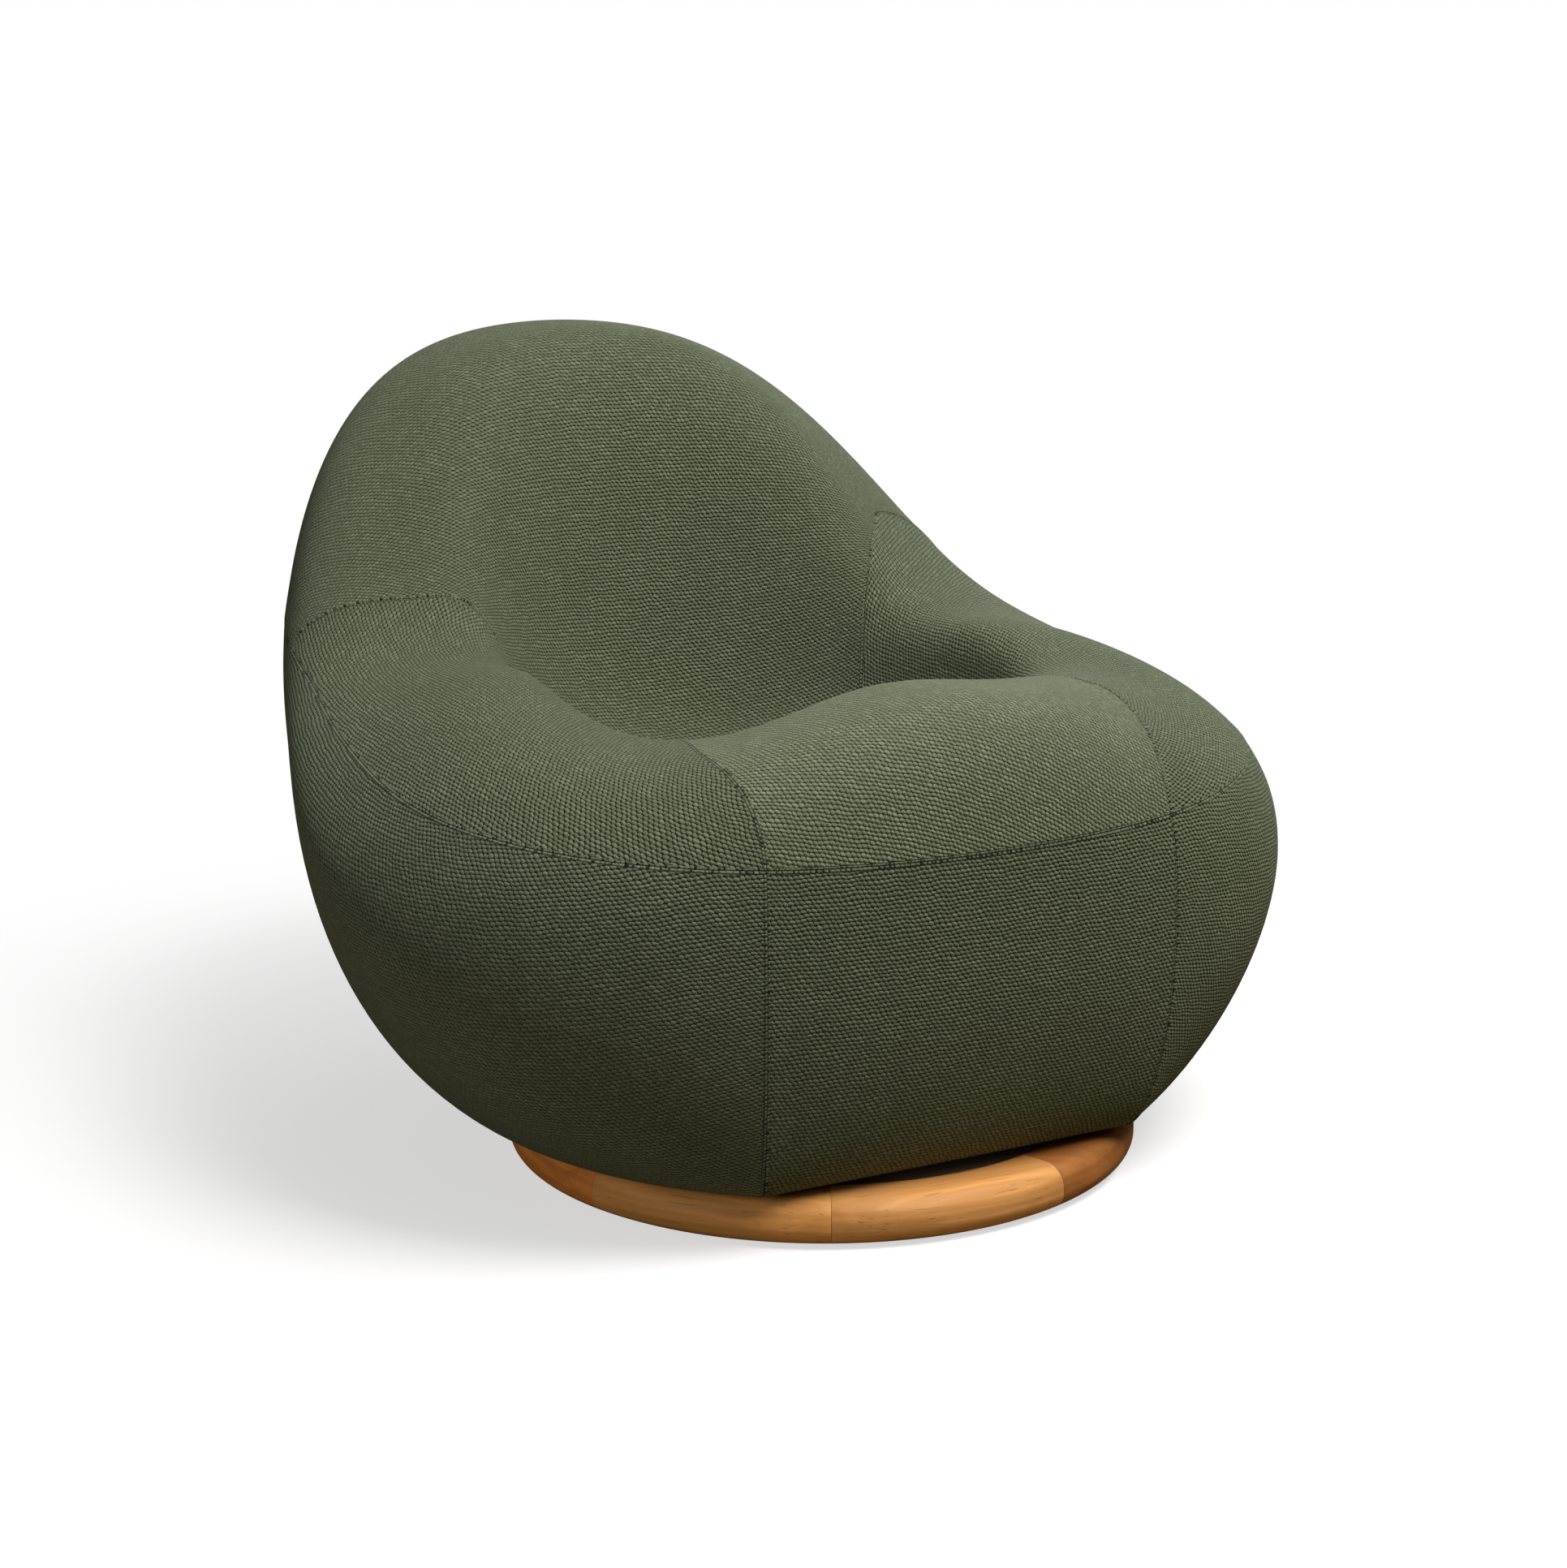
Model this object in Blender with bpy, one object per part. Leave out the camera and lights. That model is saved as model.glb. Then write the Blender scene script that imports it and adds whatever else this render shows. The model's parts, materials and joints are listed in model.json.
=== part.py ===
"""Swivel lounge chair: a padded shell on a plywood frame, turning on a ring of balls above
a round base of glued wood segments.  Metres, +Z up, the front of the chair faces -Y.

Bearings are measured round an upright axis, from the front towards -X, the sitter's right.
"""

import math
from collections import namedtuple

import bmesh
import bpy
import numpy as np
from mathutils import Vector

for leftover in list(bpy.data.objects):
    bpy.data.objects.remove(leftover, do_unlink=True)


# Clearance between neighbouring solids, the slit that parts one foam block from the next, and
# the room between foam and cover
GAP = 0.0003
FOAM_SLIT = 0.0008
FOAM_ROOM = 0.0006

# Wooden ring
RING_RADIUS = 0.280
RING_HEIGHT = 0.040
RING_WIDTH = 0.070
RING_SEGMENTS = 8
RING_JOINT_BEARING = math.radians(28)
LEDGE_WIDTH = 0.025
SEGMENT_STEPS = 6
EDGE_STEPS = 8

# Glides under the ring
GLIDE_RADIUS = 0.012
GLIDE_THICKNESS = 0.003
GLIDE_PROUD = 0.001
GLIDE_CIRCLE = 0.244

# Bearing: two pressed plates, a ring of balls in a cage, and a headed pin through the middle
PLATE_THICKNESS = 0.0025
TRACK_RADIUS = 0.080
TRACK_WIDTH = 0.006
TRACK_DEPTH = 0.001
BALL_RADIUS = 0.004
BALL_COUNT = 6
CAGE_WIDTH = 0.020
CAGE_THICKNESS = 0.0012
PIN_RADIUS = 0.005
PIN_HEAD_RADIUS = 0.009
PIN_HEAD_HEIGHT = 0.0025
PIN_HEAD_ROOM = 0.006
SCREW_COUNT = 4
SCREW_RADIUS = 0.002
SCREW_LENGTH = 0.012
SCREW_HEAD_RADIUS = 0.004
SCREW_HEAD_HEIGHT = 0.0018
SCREW_ROOM = 0.006
SCREW_CIRCLE_STEP = 0.020
PLATE_EDGE = 0.012

# Plywood frame
BASE_BOARD_THICKNESS = 0.018
BOTTOM_BOARD_THICKNESS = 0.015
BOTTOM_BOARD_RADIUS = 0.175
DECK_THICKNESS = 0.015
DECK_INSET = 0.085
DECK_MARGIN = 0.020
RIB_THICKNESS = 0.015
RIB_SPREAD = 0.070
RIB_SETBACK = 0.012
CROSS_RIB_SPREAD = 0.080

# Steel tube that stiffens the back, and its posts
HOOP_TUBE_RADIUS = 0.0125
HOOP_RISE = 0.055
HOOP_START = math.radians(62)
HOOP_BEND = math.radians(9)
POST_RADIUS = 0.008
POST_BEARING = math.radians(150)
POST_INSET = 0.030
CHANNEL_ROOM = 0.0006

# Padded shell
COVER_THICKNESS = 0.0025
DUST_COVER_THICKNESS = 0.001
DUST_COVER_ROOM = 0.005
DUST_COVER_LAP = 0.010
FOOT_CLEARANCE = 0.006
FOOT_RADIUS = 0.276
BODY_SETBACK = 0.170
SEAT_PADDING = 0.035
SEAT_MIDDLE_HEIGHT = 0.278

# Outline of the shell at six bearings, evenly spread from the front to the back.  Reaches are
# taken from the body's own axis and heights from the foot of the shell.
Section = namedtuple(
    "Section",
    "belly_reach belly_height crest_reach crest_height crease_reach crease_height "
    "seam_height lower_fullness upper_fullness wall_lean",
)
FRONT = Section(
    belly_reach=0.440, belly_height=0.180, crest_reach=0.345, crest_height=0.391,
    crease_reach=0.150, crease_height=0.318, seam_height=0.275,
    lower_fullness=2.05, upper_fullness=2.8, wall_lean=0.55,
)
FRONT_CORNER = Section(
    belly_reach=0.490, belly_height=0.184, crest_reach=0.352, crest_height=0.350,
    crease_reach=0.190, crease_height=0.313, seam_height=0.287,
    lower_fullness=1.85, upper_fullness=2.6, wall_lean=0.60,
)
ARM = Section(
    belly_reach=0.470, belly_height=0.248, crest_reach=0.280, crest_height=0.382,
    crease_reach=0.165, crease_height=0.292, seam_height=0.319,
    lower_fullness=1.75, upper_fullness=1.55, wall_lean=0.60,
)
ARM_REAR = Section(
    belly_reach=0.404, belly_height=0.332, crest_reach=0.274, crest_height=0.392,
    crease_reach=0.120, crease_height=0.268, seam_height=0.366,
    lower_fullness=2.05, upper_fullness=2.4, wall_lean=0.36,
)
SHOULDER = Section(
    belly_reach=0.452, belly_height=0.333, crest_reach=0.336, crest_height=0.568,
    crease_reach=0.102, crease_height=0.247, seam_height=0.421,
    lower_fullness=2.05, upper_fullness=3.6, wall_lean=0.30,
)
BACK = Section(
    belly_reach=0.480, belly_height=0.342, crest_reach=0.352, crest_height=0.643,
    crease_reach=0.100, crease_height=0.236, seam_height=0.451,
    lower_fullness=2.2, upper_fullness=4.0, wall_lean=0.39,
)

# Seams of the cover, as bearings round the body's axis
CORNER_SEAM = math.radians(24.7)
ARM_SEAM_END = math.radians(50)
ARM_SEAM_CURL = 1.7
BackSeam = namedtuple("BackSeam", "at_girdle at_crest at_crease")
RIGHT_BACK_SEAM = BackSeam(math.radians(115), math.radians(116), math.radians(122))
LEFT_BACK_SEAM = BackSeam(math.radians(117.5), math.radians(124), math.radians(99))

# Facets
FRONT_COLUMNS = 8
ARM_COLUMNS = 9
BACK_COLUMNS = 14
LOWER_ROWS = 6
UPPER_ROWS = 4
WALL_ROWS = 6
SEAT_ROWS = 4
RIB_LEVELS = 3
DISC_SIDES = RING_SEGMENTS * SEGMENT_STEPS
PIN_SIDES = 24
TUBE_SIDES = 10
HOOP_BEND_STEPS = 4
HOOP_ROUND_STEPS = 15
SCREW_SIDES = 12
BALL_RINGS = 8
SHARP_ANGLE = math.radians(35)

# Levels, worked out from the floor up
RING_BOTTOM = GLIDE_PROUD
RING_TOP = RING_BOTTOM + RING_HEIGHT
FOOT = RING_TOP + FOOT_CLEARANCE
UPPER_PLATE_TOP = FOOT - GAP
UPPER_PLATE_BOTTOM = UPPER_PLATE_TOP - PLATE_THICKNESS
PLATE_SPACING = 2 * (BALL_RADIUS + GAP - TRACK_DEPTH)
LOWER_PLATE_TOP = UPPER_PLATE_BOTTOM - PLATE_SPACING
LOWER_PLATE_BOTTOM = LOWER_PLATE_TOP - PLATE_THICKNESS
BALL_LEVEL = (UPPER_PLATE_BOTTOM + LOWER_PLATE_TOP) / 2
BASE_BOARD_TOP = LOWER_PLATE_BOTTOM - GAP
BASE_BOARD_BOTTOM = BASE_BOARD_TOP - BASE_BOARD_THICKNESS
LEDGE = BASE_BOARD_BOTTOM - GAP
BOARD_TOP = FOOT + BOTTOM_BOARD_THICKNESS

# Circles that follow from the bearing and the ring
CAGE_OUTER = TRACK_RADIUS + CAGE_WIDTH / 2
CAGE_INNER = TRACK_RADIUS - CAGE_WIDTH / 2
UPPER_SCREW_CIRCLE = CAGE_OUTER + SCREW_ROOM + SCREW_HEAD_RADIUS
LOWER_SCREW_CIRCLE = UPPER_SCREW_CIRCLE + SCREW_CIRCLE_STEP
PLATE_RADIUS = LOWER_SCREW_CIRCLE + PLATE_EDGE
PIN_HOLE = PIN_RADIUS + GAP
HEAD_HOLE = PIN_HEAD_RADIUS + PIN_HEAD_ROOM
RING_INNER = RING_RADIUS - RING_WIDTH
REBATE_RADIUS = RING_INNER + LEDGE_WIDTH
SEGMENT_ANGLE = 2 * math.pi / RING_SEGMENTS


# Materials
def material(name, colour, roughness, metallic):
    made = bpy.data.materials.new(name)
    made.use_nodes = True
    shader = made.node_tree.nodes["Principled BSDF"]
    shader.inputs["Base Color"].default_value = (*colour, 1)
    shader.inputs["Roughness"].default_value = roughness
    shader.inputs["Metallic"].default_value = metallic
    made.diffuse_color = (*colour, 1)
    return made


def fabric(name):
    return material(name, (0.068, 0.092, 0.058), 0.95, 0.0)


def wood(name):
    return material(name, (0.46, 0.20, 0.065), 0.5, 0.0)


def plywood(name):
    return material(name, (0.55, 0.38, 0.21), 0.7, 0.0)


def foam(name):
    return material(name, (0.75, 0.71, 0.60), 0.95, 0.0)


def steel(name):
    return material(name, (0.42, 0.42, 0.43), 0.35, 1.0)


def glide_plastic(name):
    return material(name, (0.03, 0.03, 0.03), 0.6, 0.0)


def black_cloth(name):
    return material(name, (0.02, 0.02, 0.02), 0.9, 0.0)


# Empties that the pieces of each moving body hang from, on the swivel axis
def empty(name, parent=None):
    made = bpy.data.objects.new(name, None)
    bpy.context.scene.collection.objects.link(made)
    made.parent = parent
    return made


chair = empty("chair_frame")
base = empty("base_frame", chair)
cage_turn = empty("cage_frame", chair)
seat_turn = empty("seat_frame", chair)


def add_piece(name, shape, finish, parent, smooth=True):
    """Turn a bmesh into a named object with its own material."""
    bmesh.ops.recalc_face_normals(shape, faces=shape.faces)
    mesh = bpy.data.meshes.new(name)
    shape.to_mesh(mesh)
    shape.free()
    if smooth:
        mesh.shade_smooth()
        mesh.set_sharp_from_angle(angle=SHARP_ANGLE)
    if finish is not None:
        mesh.materials.append(finish(name))
    made = bpy.data.objects.new(name, mesh)
    bpy.context.scene.collection.objects.link(made)
    made.parent = parent
    return made


def add_cutter(name, shape, parent):
    made = add_piece(name, shape, None, parent, smooth=False)
    made.hide_render = True
    made.display_type = "WIRE"
    return made


def cut(piece, cutter):
    """Take the cutter's shape out of a piece."""
    modifier = piece.modifiers.new("cut by " + cutter.name, "BOOLEAN")
    modifier.operation = "DIFFERENCE"
    modifier.solver = "EXACT"
    modifier.object = cutter


def polar(radius, bearing, height, middle=(0.0, 0.0)):
    return Vector((
        middle[0] - radius * math.sin(bearing),
        middle[1] - radius * math.cos(bearing),
        height,
    ))


def lathe(shape, profile, sides=DISC_SIDES, middle=(0.0, 0.0), phase=0.0, closed=False):
    """Turn a profile of (radius, height) points round an upright axis."""
    rings = []
    for radius, height in profile:
        if radius == 0:
            rings.append([shape.verts.new((middle[0], middle[1], height))] * sides)
            continue
        rings.append([
            shape.verts.new(polar(radius, phase + 2 * math.pi * side / sides, height, middle))
            for side in range(sides)
        ])
    pairs = list(zip(rings, rings[1:]))
    if closed:
        pairs.append((rings[-1], rings[0]))
    for lower, upper in pairs:
        for side in range(sides):
            after = (side + 1) % sides
            corners = [lower[side], lower[after], upper[after], upper[side]]
            unique = list(dict.fromkeys(corners))
            shape.faces.new(unique)


def cylinder(shape, radius, low, high, **place):
    lathe(shape, [(0, low), (radius, low), (radius, high), (0, high)], **place)


def tube_ring(shape, radius, hole, low, high, **place):
    lathe(shape, [(hole, low), (radius, low), (radius, high), (hole, high)], closed=True, **place)


def prism(shape, outline, low, high):
    """Upright prism over a flat outline of (x, y) points."""
    bottom = [shape.verts.new((x, y, low)) for x, y in outline]
    top = [shape.verts.new((x, y, high)) for x, y in outline]
    shape.faces.new(bottom)
    shape.faces.new(top)
    for index in range(len(outline)):
        after = (index + 1) % len(outline)
        shape.faces.new((bottom[index], bottom[after], top[after], top[index]))


def sweep(shape, path, outward, radius, last_way, sides=TUBE_SIDES):
    """Round tube along a path that starts upwards and ends upwards (+1) or downwards (-1).

    Its ends are closed and level; outward gives the side direction at each point.
    """
    rings = []
    last = len(path) - 1
    for index, point in enumerate(path):
        along = (path[min(index + 1, last)] - path[max(index - 1, 0)]).normalized()
        if index == 0:
            along = Vector((0, 0, 1))
        if index == last:
            along = Vector((0, 0, last_way))
        across = (outward[index] - along * outward[index].dot(along)).normalized()
        third = along.cross(across)
        ring = []
        for side in range(sides):
            angle = 2 * math.pi * side / sides
            offset = across * math.cos(angle) + third * math.sin(angle)
            ring.append(shape.verts.new(point + offset * radius))
        rings.append(ring)
    for first, second in zip(rings, rings[1:]):
        for side in range(sides):
            after = (side + 1) % sides
            shape.faces.new((first[side], first[after], second[after], second[side]))
    shape.faces.new(rings[0])
    shape.faces.new(rings[-1])


# Wooden ring: eight glued segments with a half-round outer edge and a rebate for the board
def ring_section():
    edge = RING_HEIGHT / 2
    points = []
    for step in range(EDGE_STEPS + 1):
        angle = math.pi / 2 - math.pi * step / EDGE_STEPS
        reach = RING_RADIUS - edge + edge * math.cos(angle)
        points.append((reach, RING_BOTTOM + edge + edge * math.sin(angle)))
    points.append((RING_INNER, RING_BOTTOM))
    points.append((RING_INNER, LEDGE))
    points.append((REBATE_RADIUS, LEDGE))
    points.append((REBATE_RADIUS, RING_TOP))
    return points


def ring_segment(shape, start):
    """Sweep the ring's section over one segment, with half a glue gap at each end."""
    section = ring_section()
    rows = []
    for step in range(SEGMENT_STEPS + 1):
        bearing = start + SEGMENT_ANGLE * step / SEGMENT_STEPS
        row = []
        for radius, height in section:
            point = polar(radius, bearing, height)
            along = polar(1, bearing + math.pi / 2, 0)
            if step == 0:
                point += along * GAP / 2
            if step == SEGMENT_STEPS:
                point -= along * GAP / 2
            row.append(shape.verts.new(point))
        rows.append(row)
    size = len(section)
    for first, second in zip(rows, rows[1:]):
        for index in range(size):
            after = (index + 1) % size
            shape.faces.new((first[index], first[after], second[after], second[index]))
    shape.faces.new(rows[0])
    shape.faces.new(rows[-1])


for number in range(RING_SEGMENTS):
    start = RING_JOINT_BEARING + number * SEGMENT_ANGLE
    middle = polar(GLIDE_CIRCLE, start + SEGMENT_ANGLE / 2, 0)
    shape = bmesh.new()
    ring_segment(shape, start)
    segment = add_piece(f"ring_segment_{number + 1}", shape, wood, base)
    shape = bmesh.new()
    cylinder(
        shape, GLIDE_RADIUS + GAP, -RING_HEIGHT, GLIDE_THICKNESS + GAP,
        sides=SCREW_SIDES, middle=middle[:2],
    )
    cut(segment, add_cutter(f"glide_pocket_{number + 1}", shape, base))
    shape = bmesh.new()
    cylinder(shape, GLIDE_RADIUS, 0, GLIDE_THICKNESS, sides=SCREW_SIDES, middle=middle[:2])
    add_piece(f"glide_{number + 1}", shape, glide_plastic, base)


# Plywood board in the ring's rebate
shape = bmesh.new()
tube_ring(
    shape, REBATE_RADIUS - GAP, HEAD_HOLE, BASE_BOARD_BOTTOM, BASE_BOARD_TOP,
    phase=RING_JOINT_BEARING,
)
base_board = add_piece("base_board", shape, plywood, base)


# Pressed steel plates, each with a groove that the balls run in
def plate(shape, face, back, groove_floor):
    lathe(shape, [
        (PIN_HOLE, back),
        (PLATE_RADIUS, back),
        (PLATE_RADIUS, face),
        (TRACK_RADIUS + TRACK_WIDTH / 2, face),
        (TRACK_RADIUS + TRACK_WIDTH / 2, groove_floor),
        (TRACK_RADIUS - TRACK_WIDTH / 2, groove_floor),
        (TRACK_RADIUS - TRACK_WIDTH / 2, face),
        (PIN_HOLE, face),
    ], closed=True)


shape = bmesh.new()
plate(shape, LOWER_PLATE_TOP, LOWER_PLATE_BOTTOM, LOWER_PLATE_TOP - TRACK_DEPTH)
lower_plate = add_piece("lower_plate", shape, steel, base)
shape = bmesh.new()
plate(shape, UPPER_PLATE_BOTTOM, UPPER_PLATE_TOP, UPPER_PLATE_BOTTOM + TRACK_DEPTH)
upper_plate = add_piece("upper_plate", shape, steel, seat_turn)


# Headed pin that keeps the plates together
shape = bmesh.new()
lathe(shape, [
    (0, LOWER_PLATE_BOTTOM - GAP - PIN_HEAD_HEIGHT),
    (PIN_HEAD_RADIUS, LOWER_PLATE_BOTTOM - GAP - PIN_HEAD_HEIGHT),
    (PIN_HEAD_RADIUS, LOWER_PLATE_BOTTOM - GAP),
    (PIN_RADIUS, LOWER_PLATE_BOTTOM - GAP),
    (PIN_RADIUS, UPPER_PLATE_TOP + GAP),
    (PIN_HEAD_RADIUS, UPPER_PLATE_TOP + GAP),
    (PIN_HEAD_RADIUS, UPPER_PLATE_TOP + GAP + PIN_HEAD_HEIGHT),
    (0, UPPER_PLATE_TOP + GAP + PIN_HEAD_HEIGHT),
], sides=PIN_SIDES)
add_piece("pivot_pin", shape, steel, base)


# Balls and their cage
shape = bmesh.new()
tube_ring(
    shape, CAGE_OUTER, CAGE_INNER,
    BALL_LEVEL - CAGE_THICKNESS / 2, BALL_LEVEL + CAGE_THICKNESS / 2,
)
ball_cage = add_piece("ball_cage", shape, steel, cage_turn)
pockets = bmesh.new()
for number in range(BALL_COUNT):
    spot = polar(TRACK_RADIUS, 2 * math.pi * number / BALL_COUNT, BALL_LEVEL)
    shape = bmesh.new()
    bmesh.ops.create_uvsphere(shape, u_segments=SCREW_SIDES, v_segments=BALL_RINGS, radius=BALL_RADIUS)
    bmesh.ops.translate(shape, verts=shape.verts, vec=spot)
    add_piece(f"ball_{number + 1}", shape, steel, cage_turn)
    cylinder(
        pockets, BALL_RADIUS + GAP, BALL_LEVEL - BALL_RADIUS, BALL_LEVEL + BALL_RADIUS,
        sides=SCREW_SIDES, middle=spot[:2],
    )
cut(ball_cage, add_cutter("ball_pockets", pockets, cage_turn))


# Pan-head screws that hold each plate to its board
def screws(prefix, circle, seat_level, driven, parent, drilled):
    """Screws whose heads bear on seat_level; driven is +1 for upwards and -1 for downwards."""
    holes = bmesh.new()
    for number in range(SCREW_COUNT):
        bearing = 2 * math.pi * (number + 0.5) / SCREW_COUNT
        spot = polar(circle, bearing, 0)[:2]
        under_head = seat_level - driven * GAP
        top = under_head - driven * SCREW_HEAD_HEIGHT
        tip = under_head + driven * SCREW_LENGTH
        shape = bmesh.new()
        lathe(shape, [
            (0, top),
            (SCREW_HEAD_RADIUS, top),
            (SCREW_HEAD_RADIUS, under_head),
            (SCREW_RADIUS, under_head),
            (SCREW_RADIUS, tip),
            (0, tip),
        ], sides=SCREW_SIDES, middle=spot)
        add_piece(f"{prefix}_{number + 1}", shape, steel, parent)
        cylinder(
            holes, SCREW_RADIUS + GAP, min(under_head, tip + driven * GAP),
            max(under_head, tip + driven * GAP), sides=SCREW_SIDES, middle=spot,
        )
    cutter = add_cutter(prefix + "_holes", holes, parent)
    for piece in drilled:
        cut(piece, cutter)


screws("lower_screw", LOWER_SCREW_CIRCLE, LOWER_PLATE_TOP, -1, base, [lower_plate, base_board])


# Shape of the padded shell
SECTIONS = (FRONT, FRONT_CORNER, ARM, ARM_REAR, SHOULDER, BACK)
ORDERS = np.arange(len(SECTIONS))
SECTION_BEARINGS = math.pi * ORDERS / ORDERS[-1]
WAVES = np.linalg.inv(np.cos(np.outer(SECTION_BEARINGS, ORDERS)))
BODY_AXIS = (0.0, BODY_SETBACK)
SEAM_MARGIN = 0.001
NORMAL_STEP = 0.001


def smooth_round(quantity, bearing):
    """One of the sections' sizes at any bearing, alike on both sides of the chair."""
    values = [getattr(section, quantity) for section in SECTIONS]
    return float(np.cos(bearing * ORDERS) @ (WAVES @ values))


def reach_of_circle(radius, bearing):
    """Distance from the body's axis to a circle round the swivel axis."""
    aside = BODY_SETBACK * math.sin(bearing)
    return BODY_SETBACK * math.cos(bearing) + math.sqrt(radius ** 2 - aside ** 2)


def foot_reach(bearing):
    """The foot is a circle round the swivel axis, cut straight between the front corners."""
    turned = math.remainder(bearing, 2 * math.pi)
    if abs(turned) >= CORNER_SEAM:
        return reach_of_circle(FOOT_RADIUS, turned)
    return reach_of_circle(FOOT_RADIUS, CORNER_SEAM) * math.cos(CORNER_SEAM) / math.cos(turned)


def girdle_turn(bearing):
    """How far from belly (0) to crest (1) the girdle seam lies, as a share of the quarter arc."""
    belly = smooth_round("belly_height", bearing)
    crest = smooth_round("crest_height", bearing)
    rise = (smooth_round("seam_height", bearing) - belly) / (crest - belly)
    rise = min(max(rise, SEAM_MARGIN), 1 - SEAM_MARGIN)
    fullness = smooth_round("upper_fullness", bearing)
    return math.asin(rise ** (fullness / 2)) / (math.pi / 2)


def skin_point(row, bearing):
    """Point of the shell: row -1 board's rim, 0 foot, 1 girdle seam, 2 crest, 3 crease, 4 middle."""
    foot = foot_reach(bearing)
    if row <= 0:
        edge = polar(foot, bearing, FOOT, BODY_AXIS)
        share = (BOTTOM_BOARD_RADIUS + GAP) / math.hypot(edge.x, edge.y)
        scale = 1 + (share - 1) * -row
        return Vector((edge.x * scale, edge.y * scale, FOOT))
    belly = smooth_round("belly_reach", bearing)
    belly_height = FOOT + smooth_round("belly_height", bearing)
    crest = smooth_round("crest_reach", bearing)
    crest_height = FOOT + smooth_round("crest_height", bearing)
    girdle = girdle_turn(bearing)
    climb = row * (1 + girdle) if row <= 1 else 1 + girdle + (1 - girdle) * (row - 1)
    if climb <= 1:
        angle = climb * math.pi / 2
        power = 2 / smooth_round("lower_fullness", bearing)
        radius = foot + (belly - foot) * math.sin(angle) ** power
        height = belly_height - (belly_height - FOOT) * max(math.cos(angle), 0) ** power
        return polar(radius, bearing, height, BODY_AXIS)
    if row <= 2:
        angle = min(climb - 1, 1) * math.pi / 2
        power = 2 / smooth_round("upper_fullness", bearing)
        radius = crest + (belly - crest) * max(math.cos(angle), 0) ** power
        height = belly_height + (crest_height - belly_height) * math.sin(angle) ** power
        return polar(radius, bearing, height, BODY_AXIS)
    crease = smooth_round("crease_reach", bearing)
    crease_height = FOOT + smooth_round("crease_height", bearing)
    if row <= 3:
        down = row - 2
        wave = math.sin(2 * math.pi * down) / (2 * math.pi)
        lean = smooth_round("wall_lean", bearing)
        radius = crest - (crest - crease) * (down + lean * wave)
        height = crest_height - (crest_height - crease_height) * (down - wave)
        return polar(radius, bearing, height, BODY_AXIS)
    inward = row - 3
    ease = inward * inward * (3 - 2 * inward)
    height = crease_height + (FOOT + SEAT_MIDDLE_HEIGHT - crease_height) * ease
    return polar(crease * (1 - inward), bearing, height, BODY_AXIS)


# The grid of rows and columns that every cover and foam block is cut from
ROWS = [-1.0]
ROWS += [step / LOWER_ROWS for step in range(LOWER_ROWS + 1)]
ROWS += [1 + (step + 1) / UPPER_ROWS for step in range(UPPER_ROWS)]
ROWS += [2 + (step + 1) / WALL_ROWS for step in range(WALL_ROWS)]
ROWS += [3 + (step + 1) / SEAT_ROWS for step in range(SEAT_ROWS)]
GIRDLE_ROW = 1 + LOWER_ROWS
CREASE_ROW = GIRDLE_ROW + UPPER_ROWS + WALL_ROWS
POLE_ROW = CREASE_ROW + SEAT_ROWS
RIGHT_ARM_COLUMN = FRONT_COLUMNS
BACK_COLUMN = RIGHT_ARM_COLUMN + ARM_COLUMNS
REAR_COLUMN = BACK_COLUMN + BACK_COLUMNS // 2
LEFT_ARM_COLUMN = BACK_COLUMN + BACK_COLUMNS
COLUMNS = LEFT_ARM_COLUMN + ARM_COLUMNS


def between(low, high, share):
    return low + (high - low) * share


def arm_seam(row):
    """Seam from the front corner over the arm's end and down to the crease."""
    travel = (min(max(row, 1), 3) - 1) / 2
    return between(CORNER_SEAM, ARM_SEAM_END, travel ** ARM_SEAM_CURL)


def back_seam(seam, row):
    """Seam from the girdle over the shoulder and down to the crease."""
    if row <= 2:
        return between(seam.at_girdle, seam.at_crest, max(row, 1) - 1)
    return between(seam.at_crest, seam.at_crease, min(row, 3) - 2)


def column_bearing(column, row):
    """Bearing of a grid column, which leans with the seams on either side of it."""
    front = arm_seam(row)
    right = back_seam(RIGHT_BACK_SEAM, row)
    left = 2 * math.pi - back_seam(LEFT_BACK_SEAM, row)
    if column <= RIGHT_ARM_COLUMN:
        return between(-front, front, column / FRONT_COLUMNS)
    if column <= BACK_COLUMN:
        return between(front, right, (column - RIGHT_ARM_COLUMN) / ARM_COLUMNS)
    if column <= LEFT_ARM_COLUMN:
        return between(right, left, (column - BACK_COLUMN) / BACK_COLUMNS)
    return between(left, 2 * math.pi - front, (column - LEFT_ARM_COLUMN) / ARM_COLUMNS)


def skin_normal(row, bearing):
    """Outward direction of the shell's surface."""
    if row == ROWS[-1]:
        return Vector((0, 0, 1))
    up = skin_point(row + NORMAL_STEP, bearing) - skin_point(row - NORMAL_STEP, bearing)
    around = skin_point(row, bearing + NORMAL_STEP) - skin_point(row, bearing - NORMAL_STEP)
    return up.cross(around).normalized()


def skin(depth):
    """Grid function for the surface that lies at a depth under the shell's outside."""
    found = {}

    def point(row_index, column):
        key = (row_index, column)
        if key not in found:
            row = ROWS[row_index]
            bearing = column_bearing(column, row)
            found[key] = skin_point(row, bearing) - skin_normal(row, bearing) * depth
        return found[key]
    return point


def patch(first_row, last_row, first_column, last_column):
    return {
        (row, column)
        for row in range(first_row, last_row)
        for column in range(first_column, last_column)
    }


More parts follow.
